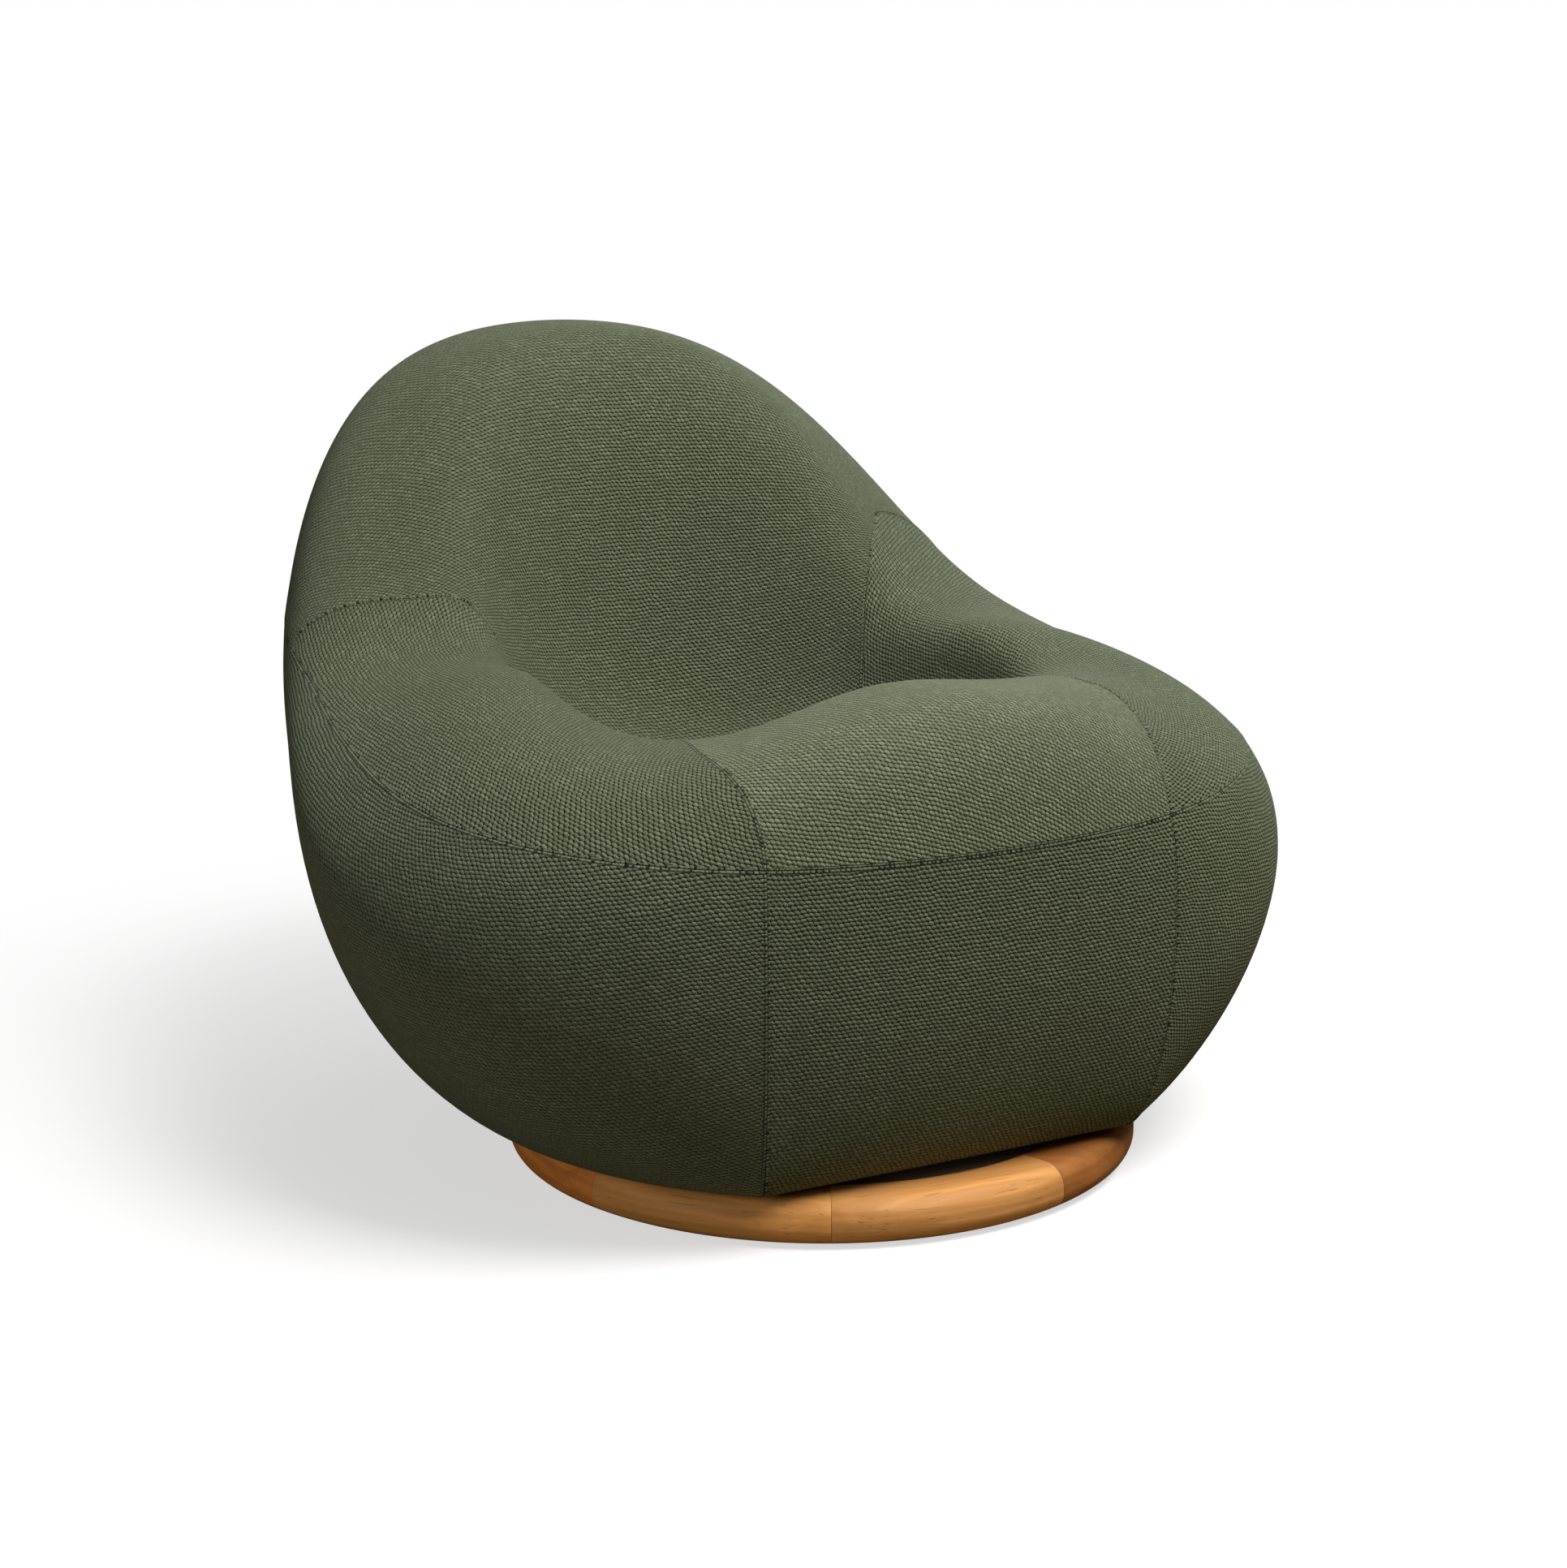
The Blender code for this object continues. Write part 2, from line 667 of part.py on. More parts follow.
def grid_block(name, cells, outer, inner, slit, finish, level_inside=False):
    """Closed solid between two skins over some cells, drawn back by half a slit at its edges."""
    def key(row, column):
        return (row, 0 if row == POLE_ROW else column % COLUMNS)

    loops = {}
    for row, column in cells:
        loops[(row, column)] = [
            key(row, column), key(row, column + 1), key(row + 1, column + 1), key(row + 1, column),
        ]
    directed = {
        (first, second): cell
        for cell, loop in loops.items()
        for first, second in zip(loop, loop[1:] + loop[:1])
        if first != second
    }
    rim = [edge for edge in directed if (edge[1], edge[0]) not in directed]

    inward = {}
    for first, second in rim:
        loop = loops[directed[(first, second)]]
        centre = sum((outer(*corner) for corner in loop), Vector()) / len(loop)
        start = outer(*first)
        along = (outer(*second) - start).normalized()
        side = centre - start
        side = (side - along * side.dot(along)).normalized()
        inward.setdefault(first, []).append(side)
        inward.setdefault(second, []).append(side)

    shape = bmesh.new()
    top = {}
    bottom = {}
    for corner in sorted({corner for loop in loops.values() for corner in loop}):
        shift = Vector()
        if corner in inward:
            one, other = inward[corner]
            shift = (one + other) / (1 + one.dot(other)) * slit / 2
        top[corner] = shape.verts.new(outer(*corner) + shift)
        if level_inside:
            shift.z = 0
        bottom[corner] = shape.verts.new(inner(*corner) + shift)

    for a, b, c, d in loops.values():
        for layer in (top, bottom):
            shape.faces.new((layer[a], layer[b], layer[c]))
            if c != d:
                shape.faces.new((layer[a], layer[c], layer[d]))
    for first, second in rim:
        low, high = sorted((first, second))
        shape.faces.new((top[low], top[high], bottom[high]))
        shape.faces.new((top[low], bottom[high], bottom[low]))
    return add_piece(name, shape, finish, seat_turn)


# Cells of each panel of the cover
FRONT_CELLS = patch(0, GIRDLE_ROW, 0, FRONT_COLUMNS)
RIGHT_SIDE_CELLS = patch(0, GIRDLE_ROW, FRONT_COLUMNS, REAR_COLUMN)
LEFT_SIDE_CELLS = patch(0, GIRDLE_ROW, REAR_COLUMN, COLUMNS)
RIGHT_ARM_CELLS = patch(GIRDLE_ROW, CREASE_ROW, RIGHT_ARM_COLUMN, BACK_COLUMN)
LEFT_ARM_CELLS = patch(GIRDLE_ROW, CREASE_ROW, LEFT_ARM_COLUMN, COLUMNS)
BACK_CELLS = patch(GIRDLE_ROW, CREASE_ROW, BACK_COLUMN, LEFT_ARM_COLUMN)
SEAT_CELLS = patch(GIRDLE_ROW, CREASE_ROW, 0, FRONT_COLUMNS) | patch(CREASE_ROW, POLE_ROW, 0, COLUMNS)

# Covers of woven cloth
outside = skin(0)
inside = skin(COVER_THICKNESS)
for name, cells in (
    ("front_cover", FRONT_CELLS),
    ("side_cover_right", RIGHT_SIDE_CELLS),
    ("side_cover_left", LEFT_SIDE_CELLS),
    ("arm_cover_right", RIGHT_ARM_CELLS),
    ("arm_cover_left", LEFT_ARM_CELLS),
    ("back_cover", BACK_CELLS),
    ("seat_cover", SEAT_CELLS),
):
    grid_block(name, cells, outside, inside, GAP, fabric)

# The deck lies under the lowest point of the crease, and is set in from the shell all round
DECK_TOP = FOOT + min(section.crease_height for section in SECTIONS) - SEAT_PADDING
DECK_BOTTOM = DECK_TOP - DECK_THICKNESS
foam_top = skin(COVER_THICKNESS + FOAM_ROOM)


def reach_at(bearing, height):
    """Reach of the shell's outside at a given height."""
    foot = foot_reach(bearing)
    belly = smooth_round("belly_reach", bearing)
    belly_height = FOOT + smooth_round("belly_height", bearing)
    if height < belly_height:
        fullness = smooth_round("lower_fullness", bearing)
        angle = math.acos(((belly_height - height) / (belly_height - FOOT)) ** (fullness / 2))
        return foot + (belly - foot) * math.sin(angle) ** (2 / fullness)
    crest = smooth_round("crest_reach", bearing)
    crest_height = FOOT + smooth_round("crest_height", bearing)
    fullness = smooth_round("upper_fullness", bearing)
    rise = min((height - belly_height) / (crest_height - belly_height), 1)
    angle = math.asin(rise ** (fullness / 2))
    return crest + (belly - crest) * math.cos(angle) ** (2 / fullness)


def deck_reach(bearing):
    return min(reach_at(bearing, DECK_TOP), reach_at(bearing, DECK_BOTTOM)) - DECK_INSET


def deck_edge(column, height, room=0.0):
    bearing = column_bearing(column, 1)
    return polar(deck_reach(bearing) - room, bearing, height, BODY_AXIS)


def board_edge(column, height, room=0.0):
    rim = outside(0, column)
    share = (BOTTOM_BOARD_RADIUS + GAP - room) / math.hypot(rim.x, rim.y)
    return Vector((rim.x * share, rim.y * share, height))


def lower_inside(row_index, column):
    """Inner face of the lower foam: up from the board's rim, out to the deck and up its edge."""
    if row_index == GIRDLE_ROW:
        return deck_edge(column, DECK_TOP - GAP)
    share = row_index / (GIRDLE_ROW - 1)
    return board_edge(column, BOARD_TOP).lerp(deck_edge(column, DECK_BOTTOM - GAP), share)


def upper_inside(row_index, column):
    """Inner face of the upper foam, flat on the deck, from its edge to the middle of the seat."""
    row = ROWS[row_index]
    level = DECK_TOP + GAP
    bearing = column_bearing(column, 2)
    reach = min(smooth_round("crest_reach", bearing), deck_reach(bearing) - DECK_MARGIN)
    under_crest = polar(reach, bearing, level, BODY_AXIS)
    if row <= 2:
        return deck_edge(column, level).lerp(under_crest, row - 1)
    crease = skin_point(3, column_bearing(column, 3))
    crease.z = level
    if row <= 3:
        return under_crest.lerp(crease, row - 2)
    return crease.lerp(Vector((*BODY_AXIS, level)), row - 3)


# Foam blocks
for name, cells in (
    ("front_foam", FRONT_CELLS),
    ("side_foam_right", RIGHT_SIDE_CELLS),
    ("side_foam_left", LEFT_SIDE_CELLS),
):
    grid_block(name, cells, foam_top, lower_inside, FOAM_SLIT, foam, level_inside=True)
grid_block("seat_foam", SEAT_CELLS, foam_top, upper_inside, FOAM_SLIT, foam, level_inside=True)
wall_foams = [
    grid_block(name, cells, foam_top, upper_inside, FOAM_SLIT, foam, level_inside=True)
    for name, cells in (
        ("arm_foam_right", RIGHT_ARM_CELLS),
        ("arm_foam_left", LEFT_ARM_CELLS),
        ("back_foam", BACK_CELLS),
    )
]


# Bottom board, seat deck, and the ribs between them
def outline(edge, room):
    return [edge(column, 0, room)[:2] for column in range(COLUMNS)]


shape = bmesh.new()
prism(shape, outline(board_edge, GAP), FOOT, BOARD_TOP)
bottom_board = add_piece("bottom_board", shape, plywood, seat_turn, smooth=False)
shape = bmesh.new()
cylinder(shape, HEAD_HOLE, FOOT - GAP, BOARD_TOP + GAP, sides=PIN_SIDES)
cut(bottom_board, add_cutter("pin_head_hole", shape, seat_turn))
screws(
    "upper_screw", UPPER_SCREW_CIRCLE, UPPER_PLATE_BOTTOM, 1, seat_turn,
    [upper_plate, bottom_board],
)

shape = bmesh.new()
prism(shape, outline(deck_edge, GAP), DECK_BOTTOM, DECK_TOP)
add_piece("seat_deck", shape, plywood, seat_turn, smooth=False)


def chord(share, x):
    """Where the hollow between board and deck starts and ends along Y, at one x."""
    points = [
        board_edge(column, 0).lerp(deck_edge(column, 0), share) for column in range(COLUMNS)
    ]
    crossings = []
    for first, second in zip(points, points[1:] + points[:1]):
        if (first.x - x) * (second.x - x) < 0:
            crossings.append(between(first.y, second.y, (x - first.x) / (second.x - first.x)))
    return min(crossings), max(crossings)


rib_low = BOARD_TOP + GAP
rib_high = DECK_BOTTOM - GAP
for side, name in ((-1, "rib_right"), (1, "rib_left")):
    outer_x = side * (RIB_SPREAD + RIB_THICKNESS / 2)
    inner_x = side * (RIB_SPREAD - RIB_THICKNESS / 2)
    front_edge = []
    rear_edge = []
    for level in range(RIB_LEVELS):
        share = level / (RIB_LEVELS - 1)
        near, far = chord(share, outer_x)
        height = between(rib_low, rib_high, share)
        front_edge.append((near + RIB_SETBACK, height))
        rear_edge.append((far - RIB_SETBACK, height))
    loop = front_edge + rear_edge[::-1]
    shape = bmesh.new()
    faces = [[shape.verts.new((x, y, z)) for y, z in loop] for x in (outer_x, inner_x)]
    shape.faces.new(faces[0])
    shape.faces.new(faces[1])
    for index in range(len(loop)):
        after = (index + 1) % len(loop)
        shape.faces.new((faces[0][index], faces[0][after], faces[1][after], faces[1][index]))
    add_piece(name, shape, plywood, seat_turn, smooth=False)

cross_half = RIB_SPREAD - RIB_THICKNESS / 2 - GAP
for side, name in ((-1, "cross_rib_front"), (1, "cross_rib_rear")):
    near = side * CROSS_RIB_SPREAD - RIB_THICKNESS / 2
    far = near + RIB_THICKNESS
    shape = bmesh.new()
    prism(
        shape, [(-cross_half, near), (cross_half, near), (cross_half, far), (-cross_half, far)],
        rib_low, rib_high,
    )
    add_piece(name, shape, plywood, seat_turn, smooth=False)


# Steel hoop through the arms and the back, standing on the deck at both ends
def hoop_place(bearing):
    """Point of the hoop's axis: under the crest, level along the arms, then climbing with it."""
    point = skin_point(2, bearing)
    climb = point.z - skin_point(2, HOOP_START + HOOP_BEND).z
    point.z = DECK_TOP + HOOP_RISE + max(climb, 0)
    return point


def hoop_path():
    """Quarter bend up from the deck, round the back under the crest, and down again."""
    floor = DECK_TOP + GAP
    bearings = []
    rises = []
    for step in range(HOOP_BEND_STEPS):
        angle = math.pi / 2 * step / HOOP_BEND_STEPS
        bearings.append(HOOP_START + HOOP_BEND * (1 - math.cos(angle)))
        rises.append(math.sin(angle))
    for step in range(HOOP_ROUND_STEPS):
        bearings.append(between(HOOP_START + HOOP_BEND, math.pi, step / HOOP_ROUND_STEPS))
        rises.append(1.0)
    bearings += [math.pi] + [2 * math.pi - bearing for bearing in reversed(bearings)]
    rises += [1.0] + rises[::-1]
    path = []
    for bearing, rise in zip(bearings, rises):
        point = hoop_place(bearing)
        point.z = between(floor, point.z, rise)
        path.append(point)
    return path, [polar(1, bearing, 0) for bearing in bearings]


route, outward = hoop_path()
shape = bmesh.new()
sweep(shape, route, outward, HOOP_TUBE_RADIUS, last_way=-1)
add_piece("back_hoop", shape, steel, seat_turn)
shape = bmesh.new()
below = Vector((0, 0, DECK_THICKNESS))
sweep(shape, [route[0] - below] + route + [route[-1] - below],
      [outward[0]] + outward + [outward[-1]], HOOP_TUBE_RADIUS + CHANNEL_ROOM, last_way=-1)
hoop_channel = add_cutter("hoop_channel", shape, seat_turn)
for foam_block in wall_foams:
    cut(foam_block, hoop_channel)

channels = bmesh.new()
for side, name in ((1, "post_right"), (-1, "post_left")):
    bearing = side * POST_BEARING
    top = hoop_place(bearing)
    foot = polar(deck_reach(bearing) - POST_INSET, bearing, DECK_TOP + GAP, BODY_AXIS)
    sideways = [polar(1, bearing, 0)] * 2
    shape = bmesh.new()
    sweep(shape, [foot, top], sideways, POST_RADIUS, last_way=1)
    post = add_piece(name, shape, steel, seat_turn)
    cut(post, hoop_channel)
    under_deck = foot + (foot - top) * DECK_THICKNESS / (top.z - foot.z)
    sweep(channels, [under_deck, top], sideways, POST_RADIUS + CHANNEL_ROOM, last_way=1)
cut(wall_foams[-1], add_cutter("post_channels", channels, seat_turn))


# Dust cover under the board, lapping the covers' hem
dust_hole = PLATE_RADIUS + DUST_COVER_ROOM
shape = bmesh.new()
tube_ring(
    shape, BOTTOM_BOARD_RADIUS + DUST_COVER_LAP, dust_hole,
    FOOT - GAP - DUST_COVER_THICKNESS, FOOT - GAP,
)
add_piece("dust_cover", shape, black_cloth, seat_turn)


# The chair's own origin is on the floor under the middle of its bounding box
depths = [outside(row, column).y for row in range(len(ROWS)) for column in range(COLUMNS)]
chair.location.y = -(min(depths) + max(depths)) / 2
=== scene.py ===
"""Looks of the swivel lounge chair: wooden base ring, swivel bearing, plywood box, foam and
sewn cloth, in the order in which the chair is put together.  Metres, the front faces -Y."""

import json
import math
from collections import namedtuple

import bmesh
import bpy
import numpy as np
from mathutils import Matrix, Vector, noise
from mathutils.kdtree import KDTree


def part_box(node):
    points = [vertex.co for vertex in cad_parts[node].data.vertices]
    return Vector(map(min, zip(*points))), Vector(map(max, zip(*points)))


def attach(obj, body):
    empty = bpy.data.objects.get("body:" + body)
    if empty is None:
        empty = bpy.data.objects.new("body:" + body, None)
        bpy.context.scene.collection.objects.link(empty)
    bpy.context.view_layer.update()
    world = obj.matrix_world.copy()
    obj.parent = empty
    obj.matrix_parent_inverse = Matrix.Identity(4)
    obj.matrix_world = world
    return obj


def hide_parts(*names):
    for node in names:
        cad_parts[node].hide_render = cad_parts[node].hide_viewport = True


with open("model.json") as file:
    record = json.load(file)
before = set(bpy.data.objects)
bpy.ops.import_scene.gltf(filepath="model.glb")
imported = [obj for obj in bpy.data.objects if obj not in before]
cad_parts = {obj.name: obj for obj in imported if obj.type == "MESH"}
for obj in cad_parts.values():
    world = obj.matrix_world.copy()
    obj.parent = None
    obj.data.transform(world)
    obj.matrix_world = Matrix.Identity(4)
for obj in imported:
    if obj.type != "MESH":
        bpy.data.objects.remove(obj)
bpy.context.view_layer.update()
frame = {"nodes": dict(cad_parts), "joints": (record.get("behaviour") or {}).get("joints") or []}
bpy.ops.object.select_all(action="DESELECT")


# Camera.  It looks at the chair from in front of its right arm, from a little above the
# crest, with a long lens.  The photograph is nearly square.
PHOTO_WIDTH = 1931
FOCAL_PIXELS = 3714
SENSOR_WIDTH = 36
CAMERA_DISTANCE = 2.65
CAMERA_BEARING = math.radians(-29)
CAMERA_RISE = math.radians(13.15)
AIM_ASIDE = -0.034
AIM_HEIGHT = 0.325

swivel = Vector(next(joint for joint in frame["joints"] if joint["name"] == "seat_swivel")["pos_m"])
swivel.z = 0
backwards = Vector((
    math.sin(CAMERA_BEARING) * math.cos(CAMERA_RISE),
    -math.cos(CAMERA_BEARING) * math.cos(CAMERA_RISE),
    math.sin(CAMERA_RISE),
))
rightwards = Vector((math.cos(CAMERA_BEARING), math.sin(CAMERA_BEARING), 0))
aim = swivel + rightwards * AIM_ASIDE + Vector((0, 0, AIM_HEIGHT))
bpy.ops.object.camera_add(
    location=aim + backwards * CAMERA_DISTANCE,
    rotation=backwards.to_track_quat("Z", "Y").to_euler(),
)
camera = bpy.context.object
camera.data.sensor_width = SENSOR_WIDTH
camera.data.lens = FOCAL_PIXELS / PHOTO_WIDTH * SENSOR_WIDTH
bpy.context.scene.camera = camera
bpy.context.scene.view_settings.view_transform = "Standard"


# Light.  Three soft lamps, placed as the camera sees them: a strong one overhead, a little to the
# right, one behind that lights the crest and back, and a weak one at the left, in a dim even room.
# The camera sees the room as plain white.
ROOM_LEVEL = 0.035
LAMP_DISTANCE = 2.6
WHITE = (1, 1, 1, 1)


def node(tree, kind, inputs=(), **settings):
    """Add a node; inputs are (socket, value or output) pairs."""
    made = tree.nodes.new("ShaderNode" + kind)
    for key, value in settings.items():
        setattr(made, key, value)
    for socket, value in inputs:
        if isinstance(value, bpy.types.NodeSocket):
            tree.links.new(value, made.inputs[socket])
        else:
            made.inputs[socket].default_value = value
    return made


def shown_to_camera(tree, otherwise, shown):
    """Shader that the camera sees as one and every other ray as the other."""
    ray = node(tree, "LightPath").outputs["Is Camera Ray"]
    return node(tree, "MixShader", [("Fac", ray), (1, otherwise), (2, shown)]).outputs[0]


room = bpy.data.worlds.new("room")
room.use_nodes = True
bpy.context.scene.world = room
dim = room.node_tree.nodes["Background"]
dim.inputs["Color"].default_value = WHITE
dim.inputs["Strength"].default_value = ROOM_LEVEL
white = node(room.node_tree, "Background", [("Color", WHITE), ("Strength", 1)])
room_look = shown_to_camera(room.node_tree, dim.outputs[0], white.outputs[0])
room.node_tree.links.new(room_look, room.node_tree.nodes["World Output"].inputs["Surface"])


def lamp(name, aside, ahead, rise, size, power):
    """Square soft lamp that points at the chair, from a direction in the camera's own terms."""
    nearer = Vector((backwards.x, backwards.y, 0)).normalized()
    towards = (rightwards * aside + nearer * ahead + Vector((0, 0, rise))).normalized()
    bpy.ops.object.light_add(
        type="AREA", location=aim + towards * LAMP_DISTANCE,
        rotation=towards.to_track_quat("Z", "Y").to_euler(),
    )
    made = bpy.context.object
    made.name = name
    made.data.size = size
    made.data.energy = power


lamp("lamp_overhead", 0.40, 0.24, 0.88, 1.6, 100)
lamp("lamp_behind", 0.20, -0.92, 0.30, 1.8, 26)
lamp("lamp_left", -0.70, 0.75, 0.20, 1.0, 11)


# Floor.  A wide pale studio floor that keeps the chair's shadow.  To the camera it glows, the
# more the further it lies from the chair, so that it fades into the white room.
FLOOR_SIZE = 24
FLOOR_COLOUR = (0.16, 0.110, 0.040)
FLOOR_ROUGHNESS = 0.9
SHADOW_COLOUR = (0.50, 0.49, 0.48)
NEAR_GLOW = 0.60
FADE_FROM = 0.35
FADE_TO = 1.10


def finish(name, colour, roughness, metallic=0.0):
    """A material whose shader has plain values to begin with."""
    made = bpy.data.materials.new(name)
    made.use_nodes = True
    shader = made.node_tree.nodes["Principled BSDF"]
    shader.inputs["Base Color"].default_value = (*colour, 1)
    shader.inputs["Roughness"].default_value = roughness
    shader.inputs["Metallic"].default_value = metallic
    return made, made.node_tree, shader


def ramp(tree, factor, low, high, start=0.0, end=1.0):
    """Value that goes smoothly from start to end while factor goes from low to high."""
    made = node(tree, "MapRange", [
        ("Value", factor), ("From Min", low), ("From Max", high), ("To Min", start), ("To Max", end),
    ], interpolation_type="SMOOTHSTEP")
    return made.outputs["Result"]


def object_place(tree):
    return node(tree, "TexCoord").outputs["Object"]


bpy.ops.mesh.primitive_plane_add(size=FLOOR_SIZE, location=(0, 0, 0))
floor = bpy.context.object
floor.name = "studio_floor"
floor_look, floor_tree, floor_matt = finish("studio_floor", FLOOR_COLOUR, FLOOR_ROUGHNESS)
shaded = node(floor_tree, "BsdfDiffuse", [("Color", (*SHADOW_COLOUR, 1))])
glow = node(floor_tree, "Emission", [("Strength", NEAR_GLOW)])
near = node(floor_tree, "AddShader", [(0, shaded.outputs[0]), (1, glow.outputs[0])])
far = node(floor_tree, "Emission")
away = node(floor_tree, "VectorMath", [(0, object_place(floor_tree))], operation="LENGTH").outputs["Value"]
fading = node(floor_tree, "MixShader", [
    ("Fac", ramp(floor_tree, away, FADE_FROM, FADE_TO)), (1, near.outputs[0]), (2, far.outputs[0]),
])
floor_shown = shown_to_camera(floor_tree, floor_matt.outputs[0], fading.outputs[0])
floor_tree.links.new(floor_shown, floor_tree.nodes["Material Output"].inputs["Surface"])
floor.data.materials.append(floor_look)


# Glides.  Black moulded plastic discs pressed into pockets under the ring, one in the middle
# of each segment.  The solids of the frame have the right shape and get a moulded finish.
def calc(tree, operation, *values, clamp=False):
    """Math node on numbers and outputs; gives its output."""
    made = node(tree, "Math", list(enumerate(values)), operation=operation, use_clamp=clamp)
    return made.outputs[0]


def blend(tree, factor, first, second):
    """Mix of two colours."""
    made = node(tree, "Mix", data_type="RGBA")
    for socket, value in ((0, factor), (6, first), (7, second)):
        if isinstance(value, bpy.types.NodeSocket):
            tree.links.new(value, made.inputs[socket])
        elif socket == 0:
            made.inputs[0].default_value = value
        else:
            made.inputs[socket].default_value = (*value, 1)
    return made.outputs[2]


def speckle(tree, place, scale, detail=2.0, roughness=0.5, distortion=0.0):
    """Noise from 0 to 1."""
    made = node(tree, "TexNoise", [
        ("Vector", place), ("Scale", scale), ("Detail", detail), ("Roughness", roughness),
        ("Distortion", distortion),
    ])
    return made.outputs["Fac"]


def bump(tree, shader, height, distance, strength=1.0):
    made = node(tree, "Bump", [("Height", height), ("Distance", distance), ("Strength", strength)])
    tree.links.new(made.outputs["Normal"], shader.inputs["Normal"])


def moulded_plastic(name):
    made, tree, shader = finish(name, (0.03, 0.03, 0.03), 0.55)
    place = object_place(tree)
    grain = speckle(tree, place, 900, detail=4)
    cloud = ramp(tree, speckle(tree, place, 60), 0.3, 0.7)
    colour = blend(tree, cloud, (0.024, 0.024, 0.025), (0.04, 0.04, 0.042))
    tree.links.new(colour, shader.inputs["Base Color"])
    tree.links.new(ramp(tree, grain, 0.3, 0.7, 0.48, 0.66), shader.inputs["Roughness"])
    bump(tree, shader, grain, 0.0001)
    return made


def dress(node_name, material):
    """Give a solid of the frame a better material."""
    target = frame["nodes"][node_name].data
    target.materials.clear()
    target.materials.append(material)


plastic = moulded_plastic("black_plastic")
for number in range(1, 9):
    dress(f"glide_{number}", plastic)


# Base ring.  Eight segments of oiled hardwood, glued end to end, with a half-round outer edge
# and a rebate inside for the base board.  The grain runs along each segment, and each was cut
# from another plank, so their tones differ; the tones also hold painted light, paler on the
# segments the camera sees at its left and darker on the one it sees at its right.
RING_RADIUS = 0.280
RING_HEIGHT = 0.040
RING_WIDTH = 0.070
RING_BOTTOM = 0.001
LEDGE_WIDTH = 0.025
LEDGE_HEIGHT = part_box("base_board")[0].z - 0.0003
RING_JOINT_BEARING = math.radians(28)
SEGMENTS = 8
SEGMENT_ANGLE = 2 * math.pi / SEGMENTS
SEGMENT_STEPS = 20
GLUE_LINE = 0.0003
JOINT_CHAMFER = 0.0004
POCKET_ROOM = 0.0003
POCKET_SIDES = 48
OUTER_ROUNDING = 0.49
OUTER_STEPS = 12
INNER_BEVEL = 0.0015
INNER_STEPS = 3
SMOOTH_ANGLE = math.radians(35)

# Colour of each segment, its plank's tone with painted light in it (segments 1 and 2 painted paler,
# segment 7 painted darker), and how far in degrees its grain turns from its length
PLANKS_WITH_PAINTED_LIGHT = (
    ((0.96, 0.45, 0.125), 4),
    ((0.95, 0.33, 0.066), 14),
    ((0.76, 0.34, 0.085), 6),
    ((0.72, 0.30, 0.068), -8),
    ((0.84, 0.40, 0.110), -5),
    ((0.80, 0.36, 0.095), 3),
    ((0.46, 0.17, 0.040), 62),
    ((0.82, 0.385, 0.114), -4),
)


def ring_wood(name, bearing, body, turn):
    """Straight-grained hardwood whose grain follows the middle of a segment."""
    made, tree, shader = finish(name, (0.5, 0.24, 0.09), 0.42)
    shader.inputs["Specular IOR Level"].default_value = 0.3
    cut_from = (bearing * 1.7, body[1], bearing)
    plank = node(tree, "Mapping", [
        ("Vector", object_place(tree)), ("Location", cut_from),
        ("Rotation", (0, 0, -(math.pi - bearing) + math.radians(turn))),
    ]).outputs["Vector"]
    stretched = node(tree, "Mapping", [("Vector", plank), ("Scale", (1.8, 34, 60))]).outputs["Vector"]
    figure = speckle(tree, stretched, 1.6, detail=5, roughness=0.55, distortion=0.6)
    layered = node(tree, "Mapping", [("Vector", plank), ("Scale", (2.0, 9, 16))]).outputs["Vector"]
    waves = node(tree, "TexWave", [
        ("Vector", layered), ("Scale", 1.5), ("Distortion", 4.0), ("Detail", 3.0), ("Detail Scale", 0.9),
    ], wave_type="BANDS", bands_direction="Z").outputs["Fac"]
    drawn_out = node(tree, "Mapping", [("Vector", plank), ("Scale", (22, 300, 520))]).outputs["Vector"]
    pores = speckle(tree, drawn_out, 1.0, detail=2)
    dark = (0.52 * body[0], 0.42 * body[1], 0.32 * body[2])
    streaks = blend(tree, ramp(tree, figure, 0.36, 0.68, 0.0, 0.42), body, dark)
    ringed = blend(tree, ramp(tree, waves, 0.55, 0.95, 0.0, 0.32), streaks, dark)
    open_pores = ramp(tree, pores, 0.62, 0.74)
    colour = blend(tree, calc(tree, "MULTIPLY", open_pores, 0.38), ringed, (0.16, 0.06, 0.020))
    tree.links.new(colour, shader.inputs["Base Color"])
    tree.links.new(ramp(tree, figure, 0.3, 0.7, 0.46, 0.60), shader.inputs["Roughness"])
    depth = calc(tree, "SUBTRACT", calc(tree, "MULTIPLY", figure, 0.3), open_pores)
    bump(tree, shader, depth, 0.00012)
    return made


def select_vertices(piece, wanted):
    """In edit mode, select the vertices for which wanted(place) is true."""
    bpy.ops.mesh.select_all(action="DESELECT")
    bpy.ops.object.mode_set(mode="OBJECT")
    for vertex in piece.data.vertices:
        vertex.select = wanted(vertex.co)
    bpy.ops.object.mode_set(mode="EDIT")


def settle(piece, name):
    """Name a piece and put its place into its mesh, with its object at the origin."""
    bpy.ops.object.select_all(action="DESELECT")
    piece.select_set(True)
    bpy.context.view_layer.objects.active = piece
    bpy.ops.object.transform_apply(location=True, rotation=True, scale=True)
    piece.name = name
    piece.data.name = name


